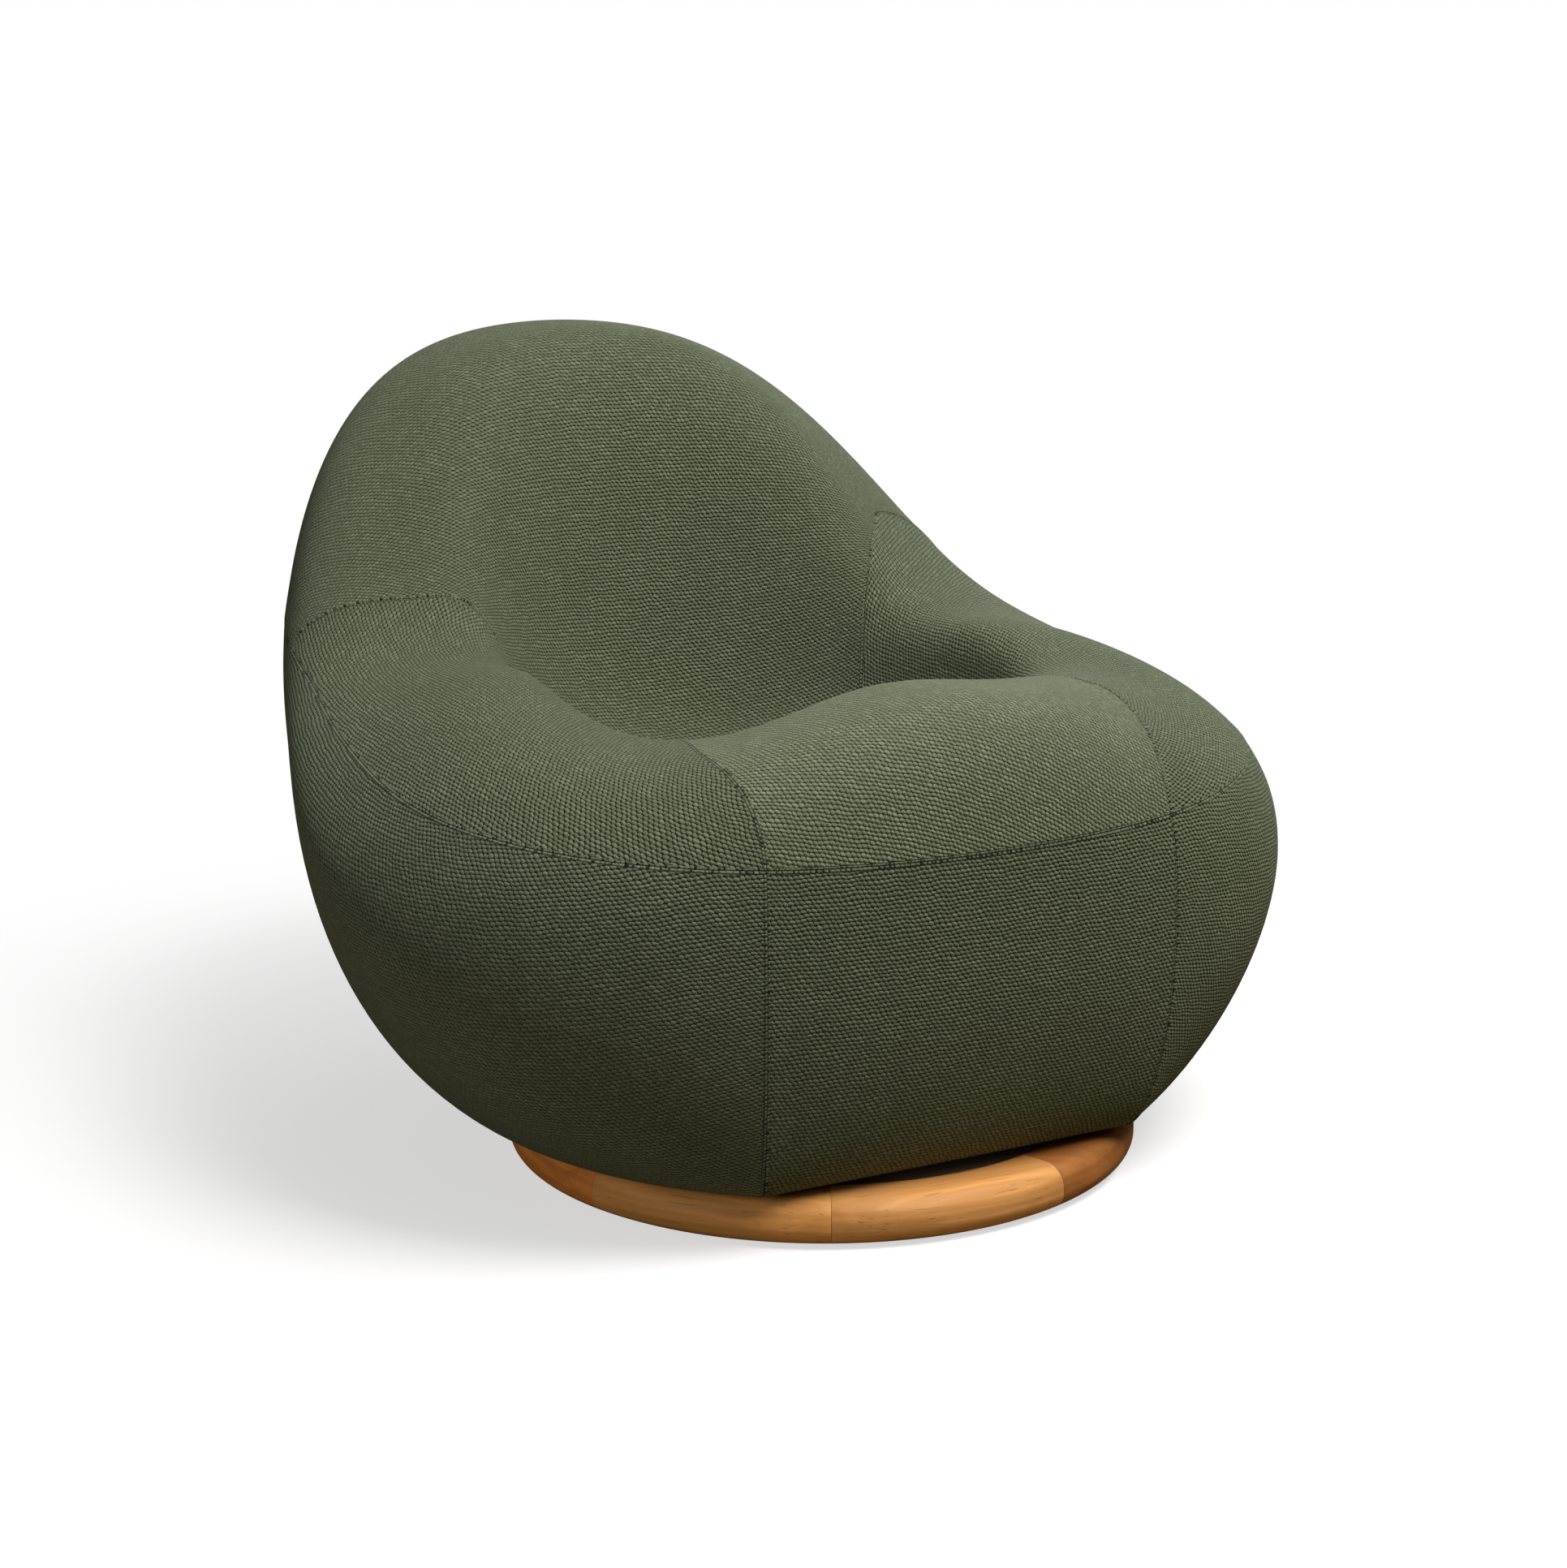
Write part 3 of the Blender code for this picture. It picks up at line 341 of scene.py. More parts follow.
def ring_segment(number):
    """One segment: its section in one plane, spun round the swivel axis."""
    start = RING_JOINT_BEARING + (number - 1) * SEGMENT_ANGLE
    outer_width = RING_WIDTH - LEDGE_WIDTH
    bpy.ops.object.select_all(action="DESELECT")
    bpy.ops.mesh.primitive_plane_add(
        size=1, location=(RING_RADIUS - outer_width / 2, 0, RING_BOTTOM + RING_HEIGHT / 2),
        rotation=(math.pi / 2, 0, 0),
    )
    piece = bpy.context.object
    piece.scale = (outer_width, RING_HEIGHT, 1)
    settle(piece, f"wood_segment_{number}")
    bpy.ops.object.mode_set(mode="EDIT")
    bpy.ops.mesh.select_all(action="SELECT")
    bpy.ops.mesh.bisect(plane_co=(0, 0, LEDGE_HEIGHT), plane_no=(0, 0, 1))
    inner = RING_RADIUS - outer_width
    bpy.context.tool_settings.mesh_select_mode = (False, True, False)
    select_vertices(piece, lambda at: at.x < inner + 0.001 and at.z < LEDGE_HEIGHT + 0.0001)
    bpy.ops.mesh.extrude_region_move(TRANSFORM_OT_translate={"value": (-LEDGE_WIDTH, 0, 0)})
    bpy.context.tool_settings.mesh_select_mode = (True, False, False)
    select_vertices(piece, lambda at: at.x > RING_RADIUS - 0.001 and abs(at.z - LEDGE_HEIGHT) > 0.005)
    bpy.ops.mesh.bevel(offset=RING_HEIGHT * OUTER_ROUNDING, segments=OUTER_STEPS, affect="VERTICES")
    select_vertices(piece, lambda at: at.x < inner + 0.001)
    bpy.ops.mesh.bevel(offset=INNER_BEVEL, segments=INNER_STEPS, affect="VERTICES")
    bpy.ops.mesh.select_all(action="SELECT")
    trim = GLUE_LINE / 2 / RING_RADIUS
    sweep = SEGMENT_ANGLE - 2 * trim
    bpy.ops.mesh.spin(steps=SEGMENT_STEPS, angle=sweep, center=(0, 0, 0), axis=(0, 0, 1))
    bpy.ops.mesh.select_all(action="SELECT")
    bpy.ops.mesh.remove_doubles(threshold=0.00002)
    bpy.ops.mesh.normals_make_consistent(inside=False)
    bpy.ops.object.mode_set(mode="OBJECT")
    turn = -math.pi / 2 - start - trim
    piece.data.transform(Matrix.Rotation(turn, 4, "Z"))
    piece.data.transform(Matrix.Translation(swivel))
    return piece


for number in range(1, SEGMENTS + 1):
    segment = ring_segment(number)
    body, turn = PLANKS_WITH_PAINTED_LIGHT[number - 1]
    middle = RING_JOINT_BEARING + (number - 0.5) * SEGMENT_ANGLE
    segment.data.materials.append(ring_wood(f"ring_wood_{number}", middle, body, turn))
    ends = segment.modifiers.new("chamfer", "BEVEL")
    ends.width = JOINT_CHAMFER
    ends.segments = 2
    ends.angle_limit = math.radians(40)
    bpy.ops.object.modifier_apply(modifier=ends.name)
    glide_low, glide_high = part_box(f"glide_{number}")
    bpy.ops.mesh.primitive_cylinder_add(
        vertices=POCKET_SIDES, radius=(glide_high.x - glide_low.x) / 2 + POCKET_ROOM,
        depth=2 * (glide_high.z + POCKET_ROOM),
        location=((glide_low.x + glide_high.x) / 2, (glide_low.y + glide_high.y) / 2, 0),
    )
    pocket = bpy.context.object
    bpy.context.view_layer.objects.active = segment
    drill = segment.modifiers.new("pocket", "BOOLEAN")
    drill.object = pocket
    drill.solver = "EXACT"
    bpy.ops.object.modifier_apply(modifier=drill.name)
    bpy.data.objects.remove(pocket)
    bpy.ops.object.select_all(action="DESELECT")
    segment.select_set(True)
    bpy.ops.object.shade_smooth_by_angle(angle=SMOOTH_ANGLE)
    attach(segment, "base")
    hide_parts(f"ring_segment_{number}")


# Base board.  A disc of birch plywood that lies in the ring's rebate and carries the bearing.
# Its faces show rotary-cut veneer and its edge the crossed layers.
PLY_LAYER = 0.0016


def birch_plywood(name, across):
    """Plywood whose face grain runs along X, or along Y where across is true."""
    made, tree, shader = finish(name, (0.60, 0.44, 0.27), 0.62)
    place = object_place(tree)
    face_turn = (0, 0, math.pi / 2 * across)
    turned = node(tree, "Mapping", [("Vector", place), ("Rotation", face_turn)]).outputs[0]
    drawn_out = node(tree, "Mapping", [("Vector", turned), ("Scale", (2, 26, 4))]).outputs[0]
    veneer = speckle(tree, drawn_out, 2.2, detail=6, distortion=0.8)
    face = blend(tree, ramp(tree, veneer, 0.35, 0.7), (0.64, 0.48, 0.30), (0.50, 0.34, 0.19))
    height = node(tree, "SeparateXYZ", [("Vector", place)]).outputs["Z"]
    layer = calc(tree, "PINGPONG", calc(tree, "DIVIDE", height, PLY_LAYER), 1.0)
    edge = blend(tree, ramp(tree, layer, 0.35, 0.65), (0.55, 0.39, 0.22), (0.30, 0.18, 0.09))
    normal = node(tree, "NewGeometry").outputs["Normal"]
    upward = node(tree, "SeparateXYZ", [("Vector", normal)]).outputs["Z"]
    flat = ramp(tree, calc(tree, "ABSOLUTE", upward), 0.6, 0.8)
    tree.links.new(blend(tree, flat, edge, face), shader.inputs["Base Color"])
    bump(tree, shader, veneer, 0.0002)
    return made


board_ply = birch_plywood("birch_plywood", False)
dress("base_board", board_ply)


# Swivel bearing.  Two pressed and zinc-plated steel plates with a track for the balls, a flat
# cage that spaces the balls, a riveted pin through the middle, and pan-head screws.
def zinc_plate(name, turned):
    """Zinc-plated steel: faint spangle and fine brushing, or rings where it was turned."""
    made, tree, shader = finish(name, (0.47, 0.47, 0.48), 0.34, 1.0)
    place = object_place(tree)
    spangle = node(tree, "TexVoronoi", [("Vector", place), ("Scale", 240)], feature="F1").outputs["Color"]
    grey = blend(tree, 0.12, (0.46, 0.465, 0.48), spangle)
    cloud = speckle(tree, place, 35, detail=4)
    colour = blend(tree, ramp(tree, cloud, 0.35, 0.7, 0.0, 0.35), grey, (0.33, 0.325, 0.31))
    tree.links.new(colour, shader.inputs["Base Color"])
    tree.links.new(ramp(tree, cloud, 0.3, 0.7, 0.26, 0.46), shader.inputs["Roughness"])
    fine = node(tree, "TexWave", [
        ("Vector", place), ("Scale", 600 if turned else 160), ("Distortion", 1.5),
    ], wave_type="RINGS" if turned else "BANDS", rings_direction="Z").outputs["Fac"]
    bump(tree, shader, fine, 0.00003, 0.5)
    return made


pressed_steel = zinc_plate("pressed_steel", False)
turned_steel = zinc_plate("turned_steel", True)
for name in ("lower_plate", "upper_plate", "ball_cage"):
    dress(name, pressed_steel)
for name in ["pivot_pin"] + [f"ball_{number}" for number in range(1, 7)]:
    dress(name, turned_steel)
for number in range(1, 5):
    dress(f"lower_screw_{number}", turned_steel)
    dress(f"upper_screw_{number}", turned_steel)


# Plywood box.  A bottom board over the bearing, a seat deck, and four ribs glued between them.
# It carries the foam and the steel hoop.
rib_ply = birch_plywood("birch_plywood_ribs", True)
for name in ("bottom_board", "seat_deck"):
    dress(name, board_ply)
for name in ("rib_right", "rib_left", "cross_rib_front", "cross_rib_rear"):
    dress(name, rib_ply)


# Hoop and posts.  Bent steel tube, powder-coated dark grey, that stiffens the arms and the back
# inside the foam.
def powder_coat(name):
    made, tree, shader = finish(name, (0.06, 0.062, 0.065), 0.5, 0.2)
    place = object_place(tree)
    peel = speckle(tree, place, 700, detail=3)
    cloud = ramp(tree, speckle(tree, place, 30), 0.3, 0.7)
    colour = blend(tree, cloud, (0.050, 0.052, 0.055), (0.075, 0.077, 0.08))
    tree.links.new(colour, shader.inputs["Base Color"])
    bump(tree, shader, peel, 0.00012)
    return made


coat = powder_coat("powder_coat")
for name in ("back_hoop", "post_right", "post_left"):
    dress(name, coat)


# Foam.  Blocks of pale cut foam, glued round the plywood box under each cloth panel.  Each is a
# softened copy of its block, a few millimetres smaller, so that the seams of the cloth clear it.
FOAM_CELL = 0.009
FOAM_SMOOTHING = 4
FOAM_SHRINK = 0.005


def cut_foam(name):
    made, tree, shader = finish(name, (0.76, 0.71, 0.58), 0.95)
    place = object_place(tree)
    cells = node(tree, "TexVoronoi", [("Vector", place), ("Scale", 900)], feature="F1").outputs["Distance"]
    tone = blend(tree, ramp(tree, speckle(tree, place, 9), 0.3, 0.7), (0.78, 0.73, 0.60), (0.70, 0.63, 0.47))
    colour = blend(tree, ramp(tree, cells, 0.2, 0.7, 0.0, 0.5), tone, (0.45, 0.40, 0.29))
    tree.links.new(colour, shader.inputs["Base Color"])
    bump(tree, shader, cells, 0.0006)
    return made


foam = cut_foam("cut_foam")


def foam_block(node_name):
    """Softened copy of a foam solid."""
    bpy.ops.object.select_all(action="DESELECT")
    block = bpy.data.objects.new(node_name + "_block", frame["nodes"][node_name].data.copy())
    bpy.context.scene.collection.objects.link(block)
    bpy.context.view_layer.objects.active = block
    block.select_set(True)
    bpy.ops.object.mode_set(mode="EDIT")
    bpy.ops.mesh.select_all(action="SELECT")
    bpy.ops.mesh.remove_doubles(threshold=0.00002)
    bpy.ops.object.mode_set(mode="OBJECT")
    remesh = block.modifiers.new("even", "REMESH")
    remesh.mode = "VOXEL"
    remesh.voxel_size = FOAM_CELL
    bpy.ops.object.modifier_apply(modifier=remesh.name)
    soften = block.modifiers.new("soften", "SMOOTH")
    soften.iterations = FOAM_SMOOTHING
    bpy.ops.object.modifier_apply(modifier=soften.name)
    shrink = block.modifiers.new("shrink", "DISPLACE")
    shrink.strength = -FOAM_SHRINK
    shrink.mid_level = 0
    bpy.ops.object.modifier_apply(modifier=shrink.name)
    block.data.materials.clear()
    block.data.materials.append(foam)
    bpy.ops.object.shade_smooth()
    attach(block, "seat")
    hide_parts(node_name)


for name in ("front_foam", "side_foam_right", "side_foam_left", "seat_foam"):
    foam_block(name)
for name in ("arm_foam_right", "arm_foam_left", "back_foam"):
    foam_block(name)


# Dust cover.  A ring of thin black non-woven cloth stapled under the bottom board, over the
# turned-in hems of the panels.
def non_woven(name):
    made, tree, shader = finish(name, (0.02, 0.02, 0.021), 0.9)
    place = object_place(tree)
    dots = node(tree, "TexVoronoi", [("Vector", place), ("Scale", 700)], feature="F1").outputs["Distance"]
    fibres = speckle(tree, place, 1500, detail=4, distortion=2)
    colour = blend(tree, ramp(tree, fibres, 0.4, 0.7), (0.013, 0.013, 0.014), (0.036, 0.036, 0.038))
    tree.links.new(colour, shader.inputs["Base Color"])
    bump(tree, shader, calc(tree, "ADD", dots, fibres), 0.0002)
    return made


dress("dust_cover", non_woven("black_non_woven"))


# Cloth cover.  Seven panels of coarse hopsack, sewn edge to edge and pulled tight over the foam.
# Each panel is laid on the shell's outline, which six sections describe, from the front (first)
# to the back (last).  Reaches are from the body's own axis, heights from the shell's foot.
Section = namedtuple(
    "Section",
    "belly_reach belly_height crest_reach crest_height crease_reach crease_height "
    "seam_height lower_fullness upper_fullness wall_lean",
)
SECTIONS = (
    Section(0.440, 0.180, 0.345, 0.391, 0.150, 0.318, 0.275, 2.05, 2.80, 0.55),
    Section(0.490, 0.184, 0.352, 0.350, 0.190, 0.313, 0.287, 1.85, 2.60, 0.60),
    Section(0.470, 0.248, 0.280, 0.382, 0.165, 0.292, 0.319, 1.75, 1.55, 0.60),
    Section(0.404, 0.332, 0.274, 0.392, 0.120, 0.268, 0.366, 2.05, 2.40, 0.36),
    Section(0.452, 0.333, 0.336, 0.568, 0.102, 0.247, 0.421, 2.05, 3.60, 0.30),
    Section(0.480, 0.342, 0.352, 0.643, 0.100, 0.236, 0.451, 2.20, 4.00, 0.39),
)
FOOT = 0.047
FOOT_RADIUS = 0.276
HEM_RADIUS = 0.1753
BODY_SETBACK = 0.170
SEAT_MIDDLE_HEIGHT = 0.278
CORNER_SEAM = math.radians(24.7)
ARM_SEAM_END = math.radians(50)
ARM_SEAM_CURL = 1.7
RIGHT_BACK_SEAM = (math.radians(115), math.radians(116), math.radians(122))
LEFT_BACK_SEAM = (math.radians(117.5), math.radians(124), math.radians(99))
ORDERS = np.arange(len(SECTIONS))
WAVES = np.linalg.inv(np.cos(np.outer(math.pi * ORDERS / ORDERS[-1], ORDERS)))


# The left arm is padded a little fuller than the right: where it meets the seat, and over its
# crest.  Each filling has a row and a bearing as its middle, their widths, and a height.
Filling = namedtuple("Filling", "row bearing row_width bearing_width height")
FILLINGS = (
    Filling(2.15, math.radians(-32), 0.40, math.radians(17), 0.022),
    Filling(1.80, math.radians(-98), 0.40, math.radians(12), 0.007),
)


def smooth_round(quantity, bearing):
    """One of the sections' sizes at any bearing, alike on both sides."""
    values = [getattr(section, quantity) for section in SECTIONS]
    return np.cos(np.multiply.outer(bearing, ORDERS)) @ (WAVES @ values)


def foot_reach(bearing):
    """The foot is a circle round the swivel axis, cut straight between the front corners."""
    turned = np.abs((bearing + math.pi) % (2 * math.pi) - math.pi)
    round_part = np.maximum(turned, CORNER_SEAM)
    aside = BODY_SETBACK * np.sin(round_part)
    circle = BODY_SETBACK * np.cos(round_part) + np.sqrt(FOOT_RADIUS ** 2 - aside ** 2)
    return np.where(turned < CORNER_SEAM, circle * math.cos(CORNER_SEAM) / np.cos(turned), circle)


def skin(row, bearing):
    """Points of the shell: row -1 hem, 0 foot, 1 girdle seam, 2 crest, 3 crease, 4 middle."""
    size = {quantity: smooth_round(quantity, bearing) for quantity in Section._fields}
    foot = foot_reach(bearing)
    belly = size["belly_reach"]
    belly_height = size["belly_height"]
    crest = size["crest_reach"]
    rise = (size["seam_height"] - belly_height) / (size["crest_height"] - belly_height)
    girdle = np.arcsin(np.clip(rise, 0.001, 0.999) ** (size["upper_fullness"] / 2)) / (math.pi / 2)
    climb = np.where(row <= 1, row * (1 + girdle), 1 + girdle + (1 - girdle) * (row - 1))
    low = np.clip(climb, 0, 1) * math.pi / 2
    high = np.clip(climb - 1, 0, 1) * math.pi / 2
    lower = 2 / size["lower_fullness"]
    upper = 2 / size["upper_fullness"]
    reach = np.where(
        climb <= 1,
        foot + (belly - foot) * np.sin(low) ** lower,
        crest + (belly - crest) * np.clip(np.cos(high), 0, 1) ** upper,
    )
    height = np.where(
        climb <= 1,
        belly_height * (1 - np.clip(np.cos(low), 0, 1) ** lower),
        belly_height + (size["crest_height"] - belly_height) * np.sin(high) ** upper,
    )
    down = np.clip(row - 2, 0, 1)
    wave = np.sin(2 * math.pi * down) / (2 * math.pi)
    wall_reach = crest - (crest - size["crease_reach"]) * (down + size["wall_lean"] * wave)
    wall_height = size["crest_height"] - (size["crest_height"] - size["crease_height"]) * (down - wave)
    reach = np.where(row > 2, wall_reach, reach)
    height = np.where(row > 2, wall_height, height)
    inward = np.clip(row - 3, 0, 1)
    ease = inward ** 2 * (3 - 2 * inward)
    reach = np.where(row > 3, size["crease_reach"] * (1 - inward), reach)
    inner_height = size["crease_height"] + (SEAT_MIDDLE_HEIGHT - size["crease_height"]) * ease
    height = np.where(row > 3, inner_height, height)
    reach = np.where(row <= 0, foot, reach)
    height = np.where(row <= 0, 0, height)
    turned = (bearing + math.pi) % (2 * math.pi) - math.pi
    for fill in FILLINGS:
        rows_off = (row - fill.row) / fill.row_width
        bearing_off = (turned - fill.bearing) / fill.bearing_width
        height = height + fill.height * np.exp(-(rows_off ** 2 + bearing_off ** 2))
    x = -reach * np.sin(bearing)
    y = BODY_SETBACK - reach * np.cos(bearing)
    under = np.clip(-row, 0, 1)
    scale = 1 + (HEM_RADIUS / np.hypot(x, y) - 1) * under
    scale = np.where(row < 0, scale, 1)
    return np.stack([swivel.x + x * scale, swivel.y + y * scale, FOOT + height], -1)


def arm_seam(row):
    """Bearing of the seam from the front corner over the arm's end and down to the crease."""
    travel = (np.clip(row, 1, 3) - 1) / 2
    return CORNER_SEAM + (ARM_SEAM_END - CORNER_SEAM) * travel ** ARM_SEAM_CURL


def back_seam(seam, row):
    """Bearing of the seam from the girdle over the shoulder and down to the crease."""
    return np.interp(row, (1, 2, 3), seam)


def right_back_seam(row):
    return back_seam(RIGHT_BACK_SEAM, row)


def left_back_seam(row):
    return 2 * math.pi - back_seam(LEFT_BACK_SEAM, row)


def left_arm_seam(row):
    return 2 * math.pi - arm_seam(row)


# Points lie close together beside a seam, where the cloth is drawn in, and further apart elsewhere
SEAM_STEPS = (0, 0.0006, 0.0013, 0.0022, 0.0035, 0.0055, 0.0085, 0.013)
CLOTH_STEP = 0.008
CLOTH_THICKNESS = 0.0022


def shares(length, seam_first=True, seam_last=True):
    """Shares of a length, from 0 to 1, with small steps at the ends that are sewn."""
    first = np.array(SEAM_STEPS if seam_first else (0,)) / length
    last = 1 - np.array(SEAM_STEPS if seam_last else (0,))[::-1] / length
    count = max(int((last[0] - first[-1]) * length / CLOTH_STEP), 2)
    return np.concatenate([first[:-1], np.linspace(first[-1], last[0], count + 1), last[1:]])


def lay_grid(name, rows, across, left, right):
    """Grid primitive laid on the shell between two bearings that may change with the row."""
    bpy.ops.object.select_all(action="DESELECT")
    bpy.ops.mesh.primitive_grid_add(x_subdivisions=len(across) - 1, y_subdivisions=len(rows) - 1, size=1)
    piece = bpy.context.object
    piece.name = name
    row = np.repeat(rows, len(across))
    share = np.tile(across, len(rows))
    places = skin(row, left(row) + (right(row) - left(row)) * share)
    piece.data.vertices.foreach_set("co", places.astype(np.float32).ravel())
    marks = piece.data.attributes.new("row", "FLOAT", "POINT")
    marks.data.foreach_set("value", row.astype(np.float32))
    piece.data.update()
    return piece


# A seam draws the cloth in: its edges roll over into a narrow valley, with a slight dip over a
# finger's width beside it.  The tuck between seat and walls is a wider, deeper roll.  The pull
# of the thread puckers the cloth across the seam.
SEAM_ROLL = 0.0017
DIP_DEPTH = 0.0006
DIP_WIDTH = 0.013
TUCK_ROLL = 0.014
TUCK_OUTWARD = 0.6
TUCK_DOWN = 0.8
PUCKER_DEPTH = 0.00008
PUCKER_REACH = 0.010
PUCKERS_PER_METRE = 38


def roll_over(distance, radius):
    """Depth of an edge rounded with a radius, at a distance from the edge."""
    inside = 1 - min(distance / radius, 1)
    return radius * (1 - math.sqrt(1 - inside ** 2))


def draw_in(piece):
    """Draw the cloth in beside the panel's sewn edges."""
    shape = bmesh.new()
    shape.from_mesh(piece.data)
    shape.normal_update()
    rows = shape.verts.layers.float["row"]
    rim = [vertex for vertex in shape.verts if vertex.is_boundary and vertex[rows] > -0.5]
    nearest = KDTree(len(rim))
    for index, vertex in enumerate(rim):
        nearest.insert(vertex.co, index)
    nearest.balance()
    places = []
    for vertex in shape.verts:
        place, index, distance = nearest.find(vertex.co)
        tuck = min(max((rim[index][rows] - 2.8) / 0.2, 0), 1)
        tuck = tuck * tuck * (3 - 2 * tuck)
        outward = Vector((place.x - swivel.x, place.y - swivel.y - BODY_SETBACK, 0)).normalized()
        into_tuck = outward * TUCK_OUTWARD + Vector((0, 0, -TUCK_DOWN))
        way = (-vertex.normal).lerp(into_tuck, tuck).normalized()
        depth = roll_over(distance, SEAM_ROLL + (TUCK_ROLL - SEAM_ROLL) * tuck)
        depth += DIP_DEPTH * math.exp(-(distance / DIP_WIDTH) ** 2)
        fold = noise.noise(place * PUCKERS_PER_METRE) + 0.5 * noise.noise(place * PUCKERS_PER_METRE * 2.3)
        depth += PUCKER_DEPTH * fold * math.exp(-distance / PUCKER_REACH) * (1 - tuck)
        places.append(vertex.co + way * depth)
    for vertex, place in zip(shape.verts, places):
        vertex.co = place
    shape.to_mesh(piece.data)
    shape.free()


def lay_weave(piece, at, along, turn):
    """Unroll the panel into its UV map, in metres, with U running along a direction at one point."""
    bpy.ops.object.mode_set(mode="EDIT")
    bpy.ops.mesh.select_all(action="SELECT")
    bpy.ops.uv.unwrap(method="MINIMUM_STRETCH", iterations=12, margin=0)
    bpy.ops.object.mode_set(mode="OBJECT")
    mesh = piece.data
    mesh.calc_loop_triangles()
    places = np.zeros(len(mesh.vertices) * 3, np.float32)
    mesh.vertices.foreach_get("co", places)
    places = places.reshape(-1, 3)
    corners = np.zeros(len(mesh.loops), np.int32)
    mesh.loops.foreach_get("vertex_index", corners)
    layer = mesh.uv_layers.active.data
    flat = np.zeros(len(mesh.loops) * 2, np.float32)
    layer.foreach_get("uv", flat)
    flat = flat.reshape(-1, 2)
    of_vertex = np.zeros((len(mesh.vertices), 2), np.float32)
    of_vertex[corners] = flat
    triangles = np.zeros(len(mesh.loop_triangles) * 3, np.int32)
    mesh.loop_triangles.foreach_get("vertices", triangles)
    triangles = triangles.reshape(-1, 3)
    one, two, three = (places[triangles[:, index]] for index in range(3))
    real_area = np.linalg.norm(np.cross(two - one, three - one), axis=1).sum()
    one, two, three = (of_vertex[triangles[:, index]] for index in range(3))
    first, second = two - one, three - one
    flat_area = abs((first[:, 0] * second[:, 1] - first[:, 1] * second[:, 0]).sum())
    scale = math.sqrt(real_area / flat_area)
    middle = skin(np.array([at[0]]), np.array([at[1]]))[0]
    near = np.linalg.norm(places - middle, axis=1) < 0.05
    arms = places[near] - places[near].mean(0)
    flat_arms = of_vertex[near] - of_vertex[near].mean(0)
    normal = np.linalg.svd(arms)[2][2]
    level = np.array(along, float)
    level -= normal * (level @ normal)
    level /= np.linalg.norm(level)
    basis = np.stack([arms @ level, arms @ np.cross(normal, level)], 1)
    fit = np.linalg.lstsq(basis, flat_arms, rcond=None)[0]
    angle = math.atan2(fit[0, 1], fit[0, 0]) - turn
    turned = np.array([[math.cos(angle), -math.sin(angle)], [math.sin(angle), math.cos(angle)]])
    flat = (flat - of_vertex[near].mean(0)) @ turned * scale
    layer.foreach_set("uv", flat.astype(np.float32).ravel())


# The cloth is hopsack: thick slack yarns in a plain weave.  Each crossing is an oval nub that
# leans with the yarn's twist, laid like bricks, with painted shade in the gaps between.  The yarn
# is spun from several greens.  The seat's cloth is the same with painted sheen: paler yarn and gaps.
NUB_LENGTH = 0.0047
NUB_WIDTH = 0.0035
NUB_LEAN = 0.35
NUB_COLOUR = (0.158, 0.184, 0.110)
NUB_DARK_COLOUR = (0.084, 0.100, 0.056)
FLECK_COLOUR = (0.26, 0.30, 0.20)
# Painted shade: the dark colour put in the gaps between the nubs.
GAP_SHADE_COLOUR = (0.006, 0.008, 0.004)
# Painted sheen and light on the seat: lighter painted shade in its gaps and paler yarn.
SEAT_GAP_SHADE_COLOUR = (0.030, 0.037, 0.021)
SEAT_SHEEN_LIFT = 1.20


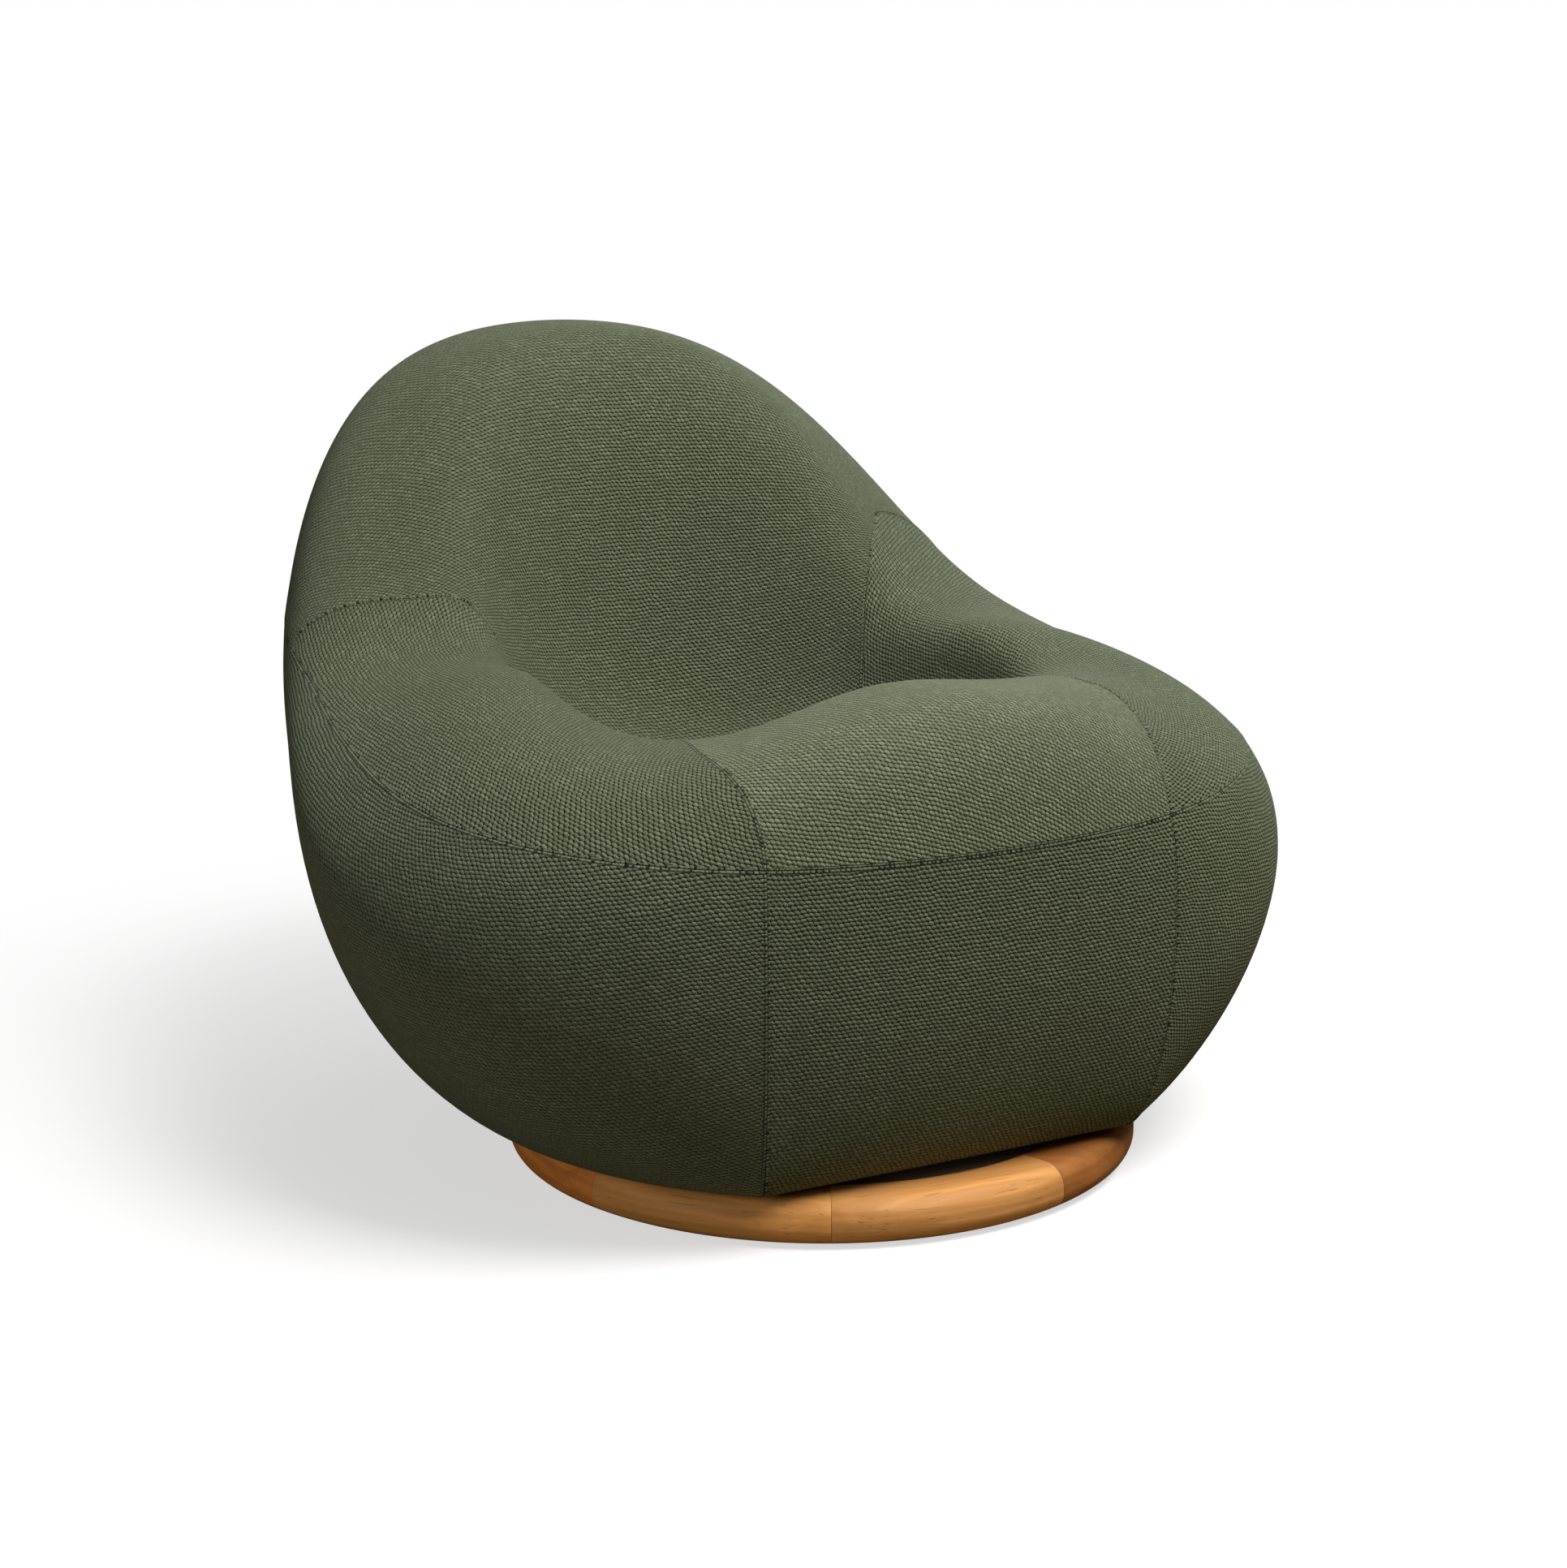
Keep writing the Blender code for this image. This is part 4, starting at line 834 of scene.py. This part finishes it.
def hopsack(name, gap_shade_colour, sheen_lift):
    """The cloth; the gap colour is painted shade between the nubs, and the lift makes the yarn paler as
    painted sheen.
    """
    made, tree, shader = finish(name, NUB_COLOUR, 0.92)
    shader.inputs["Sheen Weight"].default_value = 0.16
    shader.inputs["Sheen Roughness"].default_value = 0.45
    shader.inputs["Sheen Tint"].default_value = (0.74, 0.80, 0.55, 1)
    shader.inputs["Specular IOR Level"].default_value = 0.15
    flat = node(tree, "TexCoord").outputs["UV"]
    wander = node(tree, "TexNoise", [("Vector", flat), ("Scale", 60), ("Detail", 3)]).outputs["Color"]
    wander = node(tree, "VectorMath", [(0, wander), (1, (0.5, 0.5, 0.5))], operation="SUBTRACT").outputs[0]
    wander = node(tree, "VectorMath", [(0, wander), ("Scale", 0.0050)], operation="SCALE").outputs[0]
    loose = node(tree, "VectorMath", [(0, flat), (1, wander)], operation="ADD").outputs[0]
    parts = node(tree, "SeparateXYZ", [("Vector", loose)])
    across = calc(tree, "DIVIDE", parts.outputs["Y"], NUB_WIDTH)
    line = calc(tree, "FLOOR", across)
    stagger = calc(tree, "MULTIPLY", calc(tree, "FLOORED_MODULO", line, 2.0), 0.5)
    along = calc(tree, "ADD", calc(tree, "DIVIDE", parts.outputs["X"], NUB_LENGTH), stagger)
    aside = calc(tree, "MULTIPLY_ADD", calc(tree, "FRACT", across), 2.0, -1.0)
    ahead = calc(tree, "MULTIPLY_ADD", calc(tree, "FRACT", along), 2.0, -1.0)
    ahead = calc(tree, "MULTIPLY_ADD", aside, -NUB_LEAN, ahead)
    lengthwise = calc(tree, "POWER", calc(tree, "ABSOLUTE", ahead), 2.2)
    middle = calc(tree, "ADD", lengthwise, calc(tree, "MULTIPLY", aside, aside))
    nub = calc(tree, "MULTIPLY_ADD", middle, -0.72, 1.0, clamp=True)
    cell = node(tree, "CombineXYZ", [("X", calc(tree, "FLOOR", along)), ("Y", line)]).outputs[0]
    luck = node(tree, "TexWhiteNoise", [("Vector", cell)]).outputs["Value"]
    fibre = speckle(tree, loose, 1500, detail=3, roughness=0.65)
    melange = speckle(tree, flat, 480, detail=2, roughness=0.7)
    cloud = speckle(tree, flat, 14, detail=3)
    yarn = blend(tree, ramp(tree, melange, 0.34, 0.64), NUB_DARK_COLOUR, NUB_COLOUR)
    yarn = blend(tree, ramp(tree, luck, 0.45, 1.0, 0.0, 0.30), yarn, FLECK_COLOUR)
    yarn = blend(tree, ramp(tree, fibre, 0.54, 0.76, 0.0, 0.55), yarn, FLECK_COLOUR)
    yarn = blend(tree, ramp(tree, cloud, 0.3, 0.7, 0.0, 0.18), yarn, NUB_DARK_COLOUR)
    # Painted sheen: the lift makes the yarn paler.
    yarn = node(tree, "VectorMath", [(0, yarn), ("Scale", sheen_lift)], operation="SCALE").outputs[0]
    # Painted shade: the gaps between the nubs take the dark gap colour.
    colour = blend(tree, ramp(tree, nub, 0.0, 0.55), gap_shade_colour, yarn)
    tree.links.new(colour, shader.inputs["Base Color"])
    uneven = calc(tree, "MULTIPLY_ADD", luck, 0.3, 0.8)
    height = calc(tree, "MULTIPLY", calc(tree, "POWER", nub, 0.7), uneven)
    height = calc(tree, "MULTIPLY_ADD", fibre, 0.22, height)
    bump(tree, shader, height, 0.0016)
    return made


cloth = hopsack("green_hopsack", GAP_SHADE_COLOUR, 1.0)
# The seat's copy has painted sheen and light: paler yarn and lighter gaps.
seat_cloth_painted_sheen = hopsack("green_hopsack_seat_painted_sheen", SEAT_GAP_SHADE_COLOUR, SEAT_SHEEN_LIFT)
LEVEL_X = (1, 0, 0)


def sew(piece, name, node_name, at, along, turn, finish_of=cloth):
    """Draw in the edges of a laid panel, lay its weave, give it its thickness and dress it."""
    draw_in(piece)
    lay_weave(piece, at, along, math.radians(turn))
    body = piece.modifiers.new("cloth", "SOLIDIFY")
    body.thickness = CLOTH_THICKNESS
    body.offset = -1
    bpy.ops.object.modifier_apply(modifier=body.name)
    piece.name = name
    piece.data.name = name
    piece.data.materials.append(finish_of)
    bpy.ops.object.shade_smooth()
    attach(piece, "seat")
    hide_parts(node_name)


# Front panel.  It hangs from the girdle seam between the two corner seams and is turned in
# under the board, with its lower edge pulled straight from corner to corner.
HEM_ROWS = np.linspace(-1, 0, 6)[:-1]
LOWER_HEIGHT = 0.36
FRONT_WIDTH = 0.40


def fixed(bearing):
    return lambda row: np.full_like(row, bearing)


lower_rows = np.concatenate([HEM_ROWS, shares(LOWER_HEIGHT)])
front = lay_grid("front", lower_rows, shares(FRONT_WIDTH), fixed(-CORNER_SEAM), fixed(CORNER_SEAM))
sew(front, "front_panel", "front_cover", (0.6, 0.0), LEVEL_X, 0)


# Side panels.  One on each side under the girdle seam, from the corner seam round to the middle
# of the back, where the two are sewn together.
SIDE_WIDTH = 0.95
SIDE_MIDDLE = 1.0

side = lay_grid("side_right", lower_rows, shares(SIDE_WIDTH), fixed(CORNER_SEAM), fixed(math.pi))
level = (-math.cos(SIDE_MIDDLE), math.sin(SIDE_MIDDLE), 0)
sew(side, "side_panel_right", "side_cover_right", (0.7, SIDE_MIDDLE), level, 0)
side = lay_grid("side_left", lower_rows, shares(SIDE_WIDTH), fixed(math.pi), fixed(2 * math.pi - CORNER_SEAM))
level = (math.cos(SIDE_MIDDLE), math.sin(SIDE_MIDDLE), 0)
sew(side, "side_panel_left", "side_cover_left", (0.7, 2 * math.pi - SIDE_MIDDLE), level, 0)


# Arm panels.  Each runs from the girdle seam over the arm's crest and down to the tuck.
ARM_WIDTH = 0.50
ARM_ROUND = 0.60
ARM_MIDDLE = 1.2

upper_rows = 1 + 2 * shares(ARM_ROUND)
arm = lay_grid("arm_right", upper_rows, shares(ARM_WIDTH), arm_seam, right_back_seam)
sew(arm, "arm_panel_right", "arm_cover_right", (1.8, ARM_MIDDLE), (0, -1, 0), 0)
arm = lay_grid("arm_left", upper_rows, shares(ARM_WIDTH), left_back_seam, left_arm_seam)
sew(arm, "arm_panel_left", "arm_cover_left", (1.8, 2 * math.pi - ARM_MIDDLE), (0, -1, 0), 0)


# Back panel.  One piece over the outside of the back, its crest and its inside.
BACK_WIDTH = 0.80
BACK_ROUND = 0.90

back = lay_grid("back", 1 + 2 * shares(BACK_ROUND), shares(BACK_WIDTH), right_back_seam, left_back_seam)
sew(back, "back_panel", "back_cover", (2.5, math.pi), LEVEL_X, 0)


# Seat panel.  It starts at the girdle seam in front, runs over the seat's front edge between
# the arms, and ends in the tuck all round.  It is laid as two grids with a shared line.
SEAT_FRONT_ROUND = 0.30
SEAT_REACH = 0.18
SEAT_TURN_STEPS = 110


def seat_left_edge(row):
    return -arm_seam(row)


front_shares = shares(FRONT_WIDTH)
strip = lay_grid(
    "seat_strip", 1 + 2 * shares(SEAT_FRONT_ROUND, seam_last=False), front_shares, seat_left_edge, arm_seam,
)
strip_turn = ARM_SEAM_END / math.pi
round_shares = np.concatenate([
    front_shares * strip_turn,
    np.linspace(strip_turn, 1, SEAT_TURN_STEPS)[1:],
])
disc = lay_grid(
    "seat_disc", 3 + shares(SEAT_REACH, seam_last=False), round_shares,
    fixed(-ARM_SEAM_END), fixed(2 * math.pi - ARM_SEAM_END),
)
bpy.ops.object.select_all(action="DESELECT")
disc.select_set(True)
strip.select_set(True)
bpy.context.view_layer.objects.active = strip
bpy.ops.object.join()
bpy.ops.object.mode_set(mode="EDIT")
bpy.ops.mesh.select_all(action="SELECT")
bpy.ops.mesh.remove_doubles(threshold=0.00002)
bpy.ops.object.mode_set(mode="OBJECT")
# The seat's cloth is painted paler than the rest, as painted sheen and light.
sew(strip, "seat_panel", "seat_cover", (3.5, 0.0), LEVEL_X, -25, seat_cloth_painted_sheen)
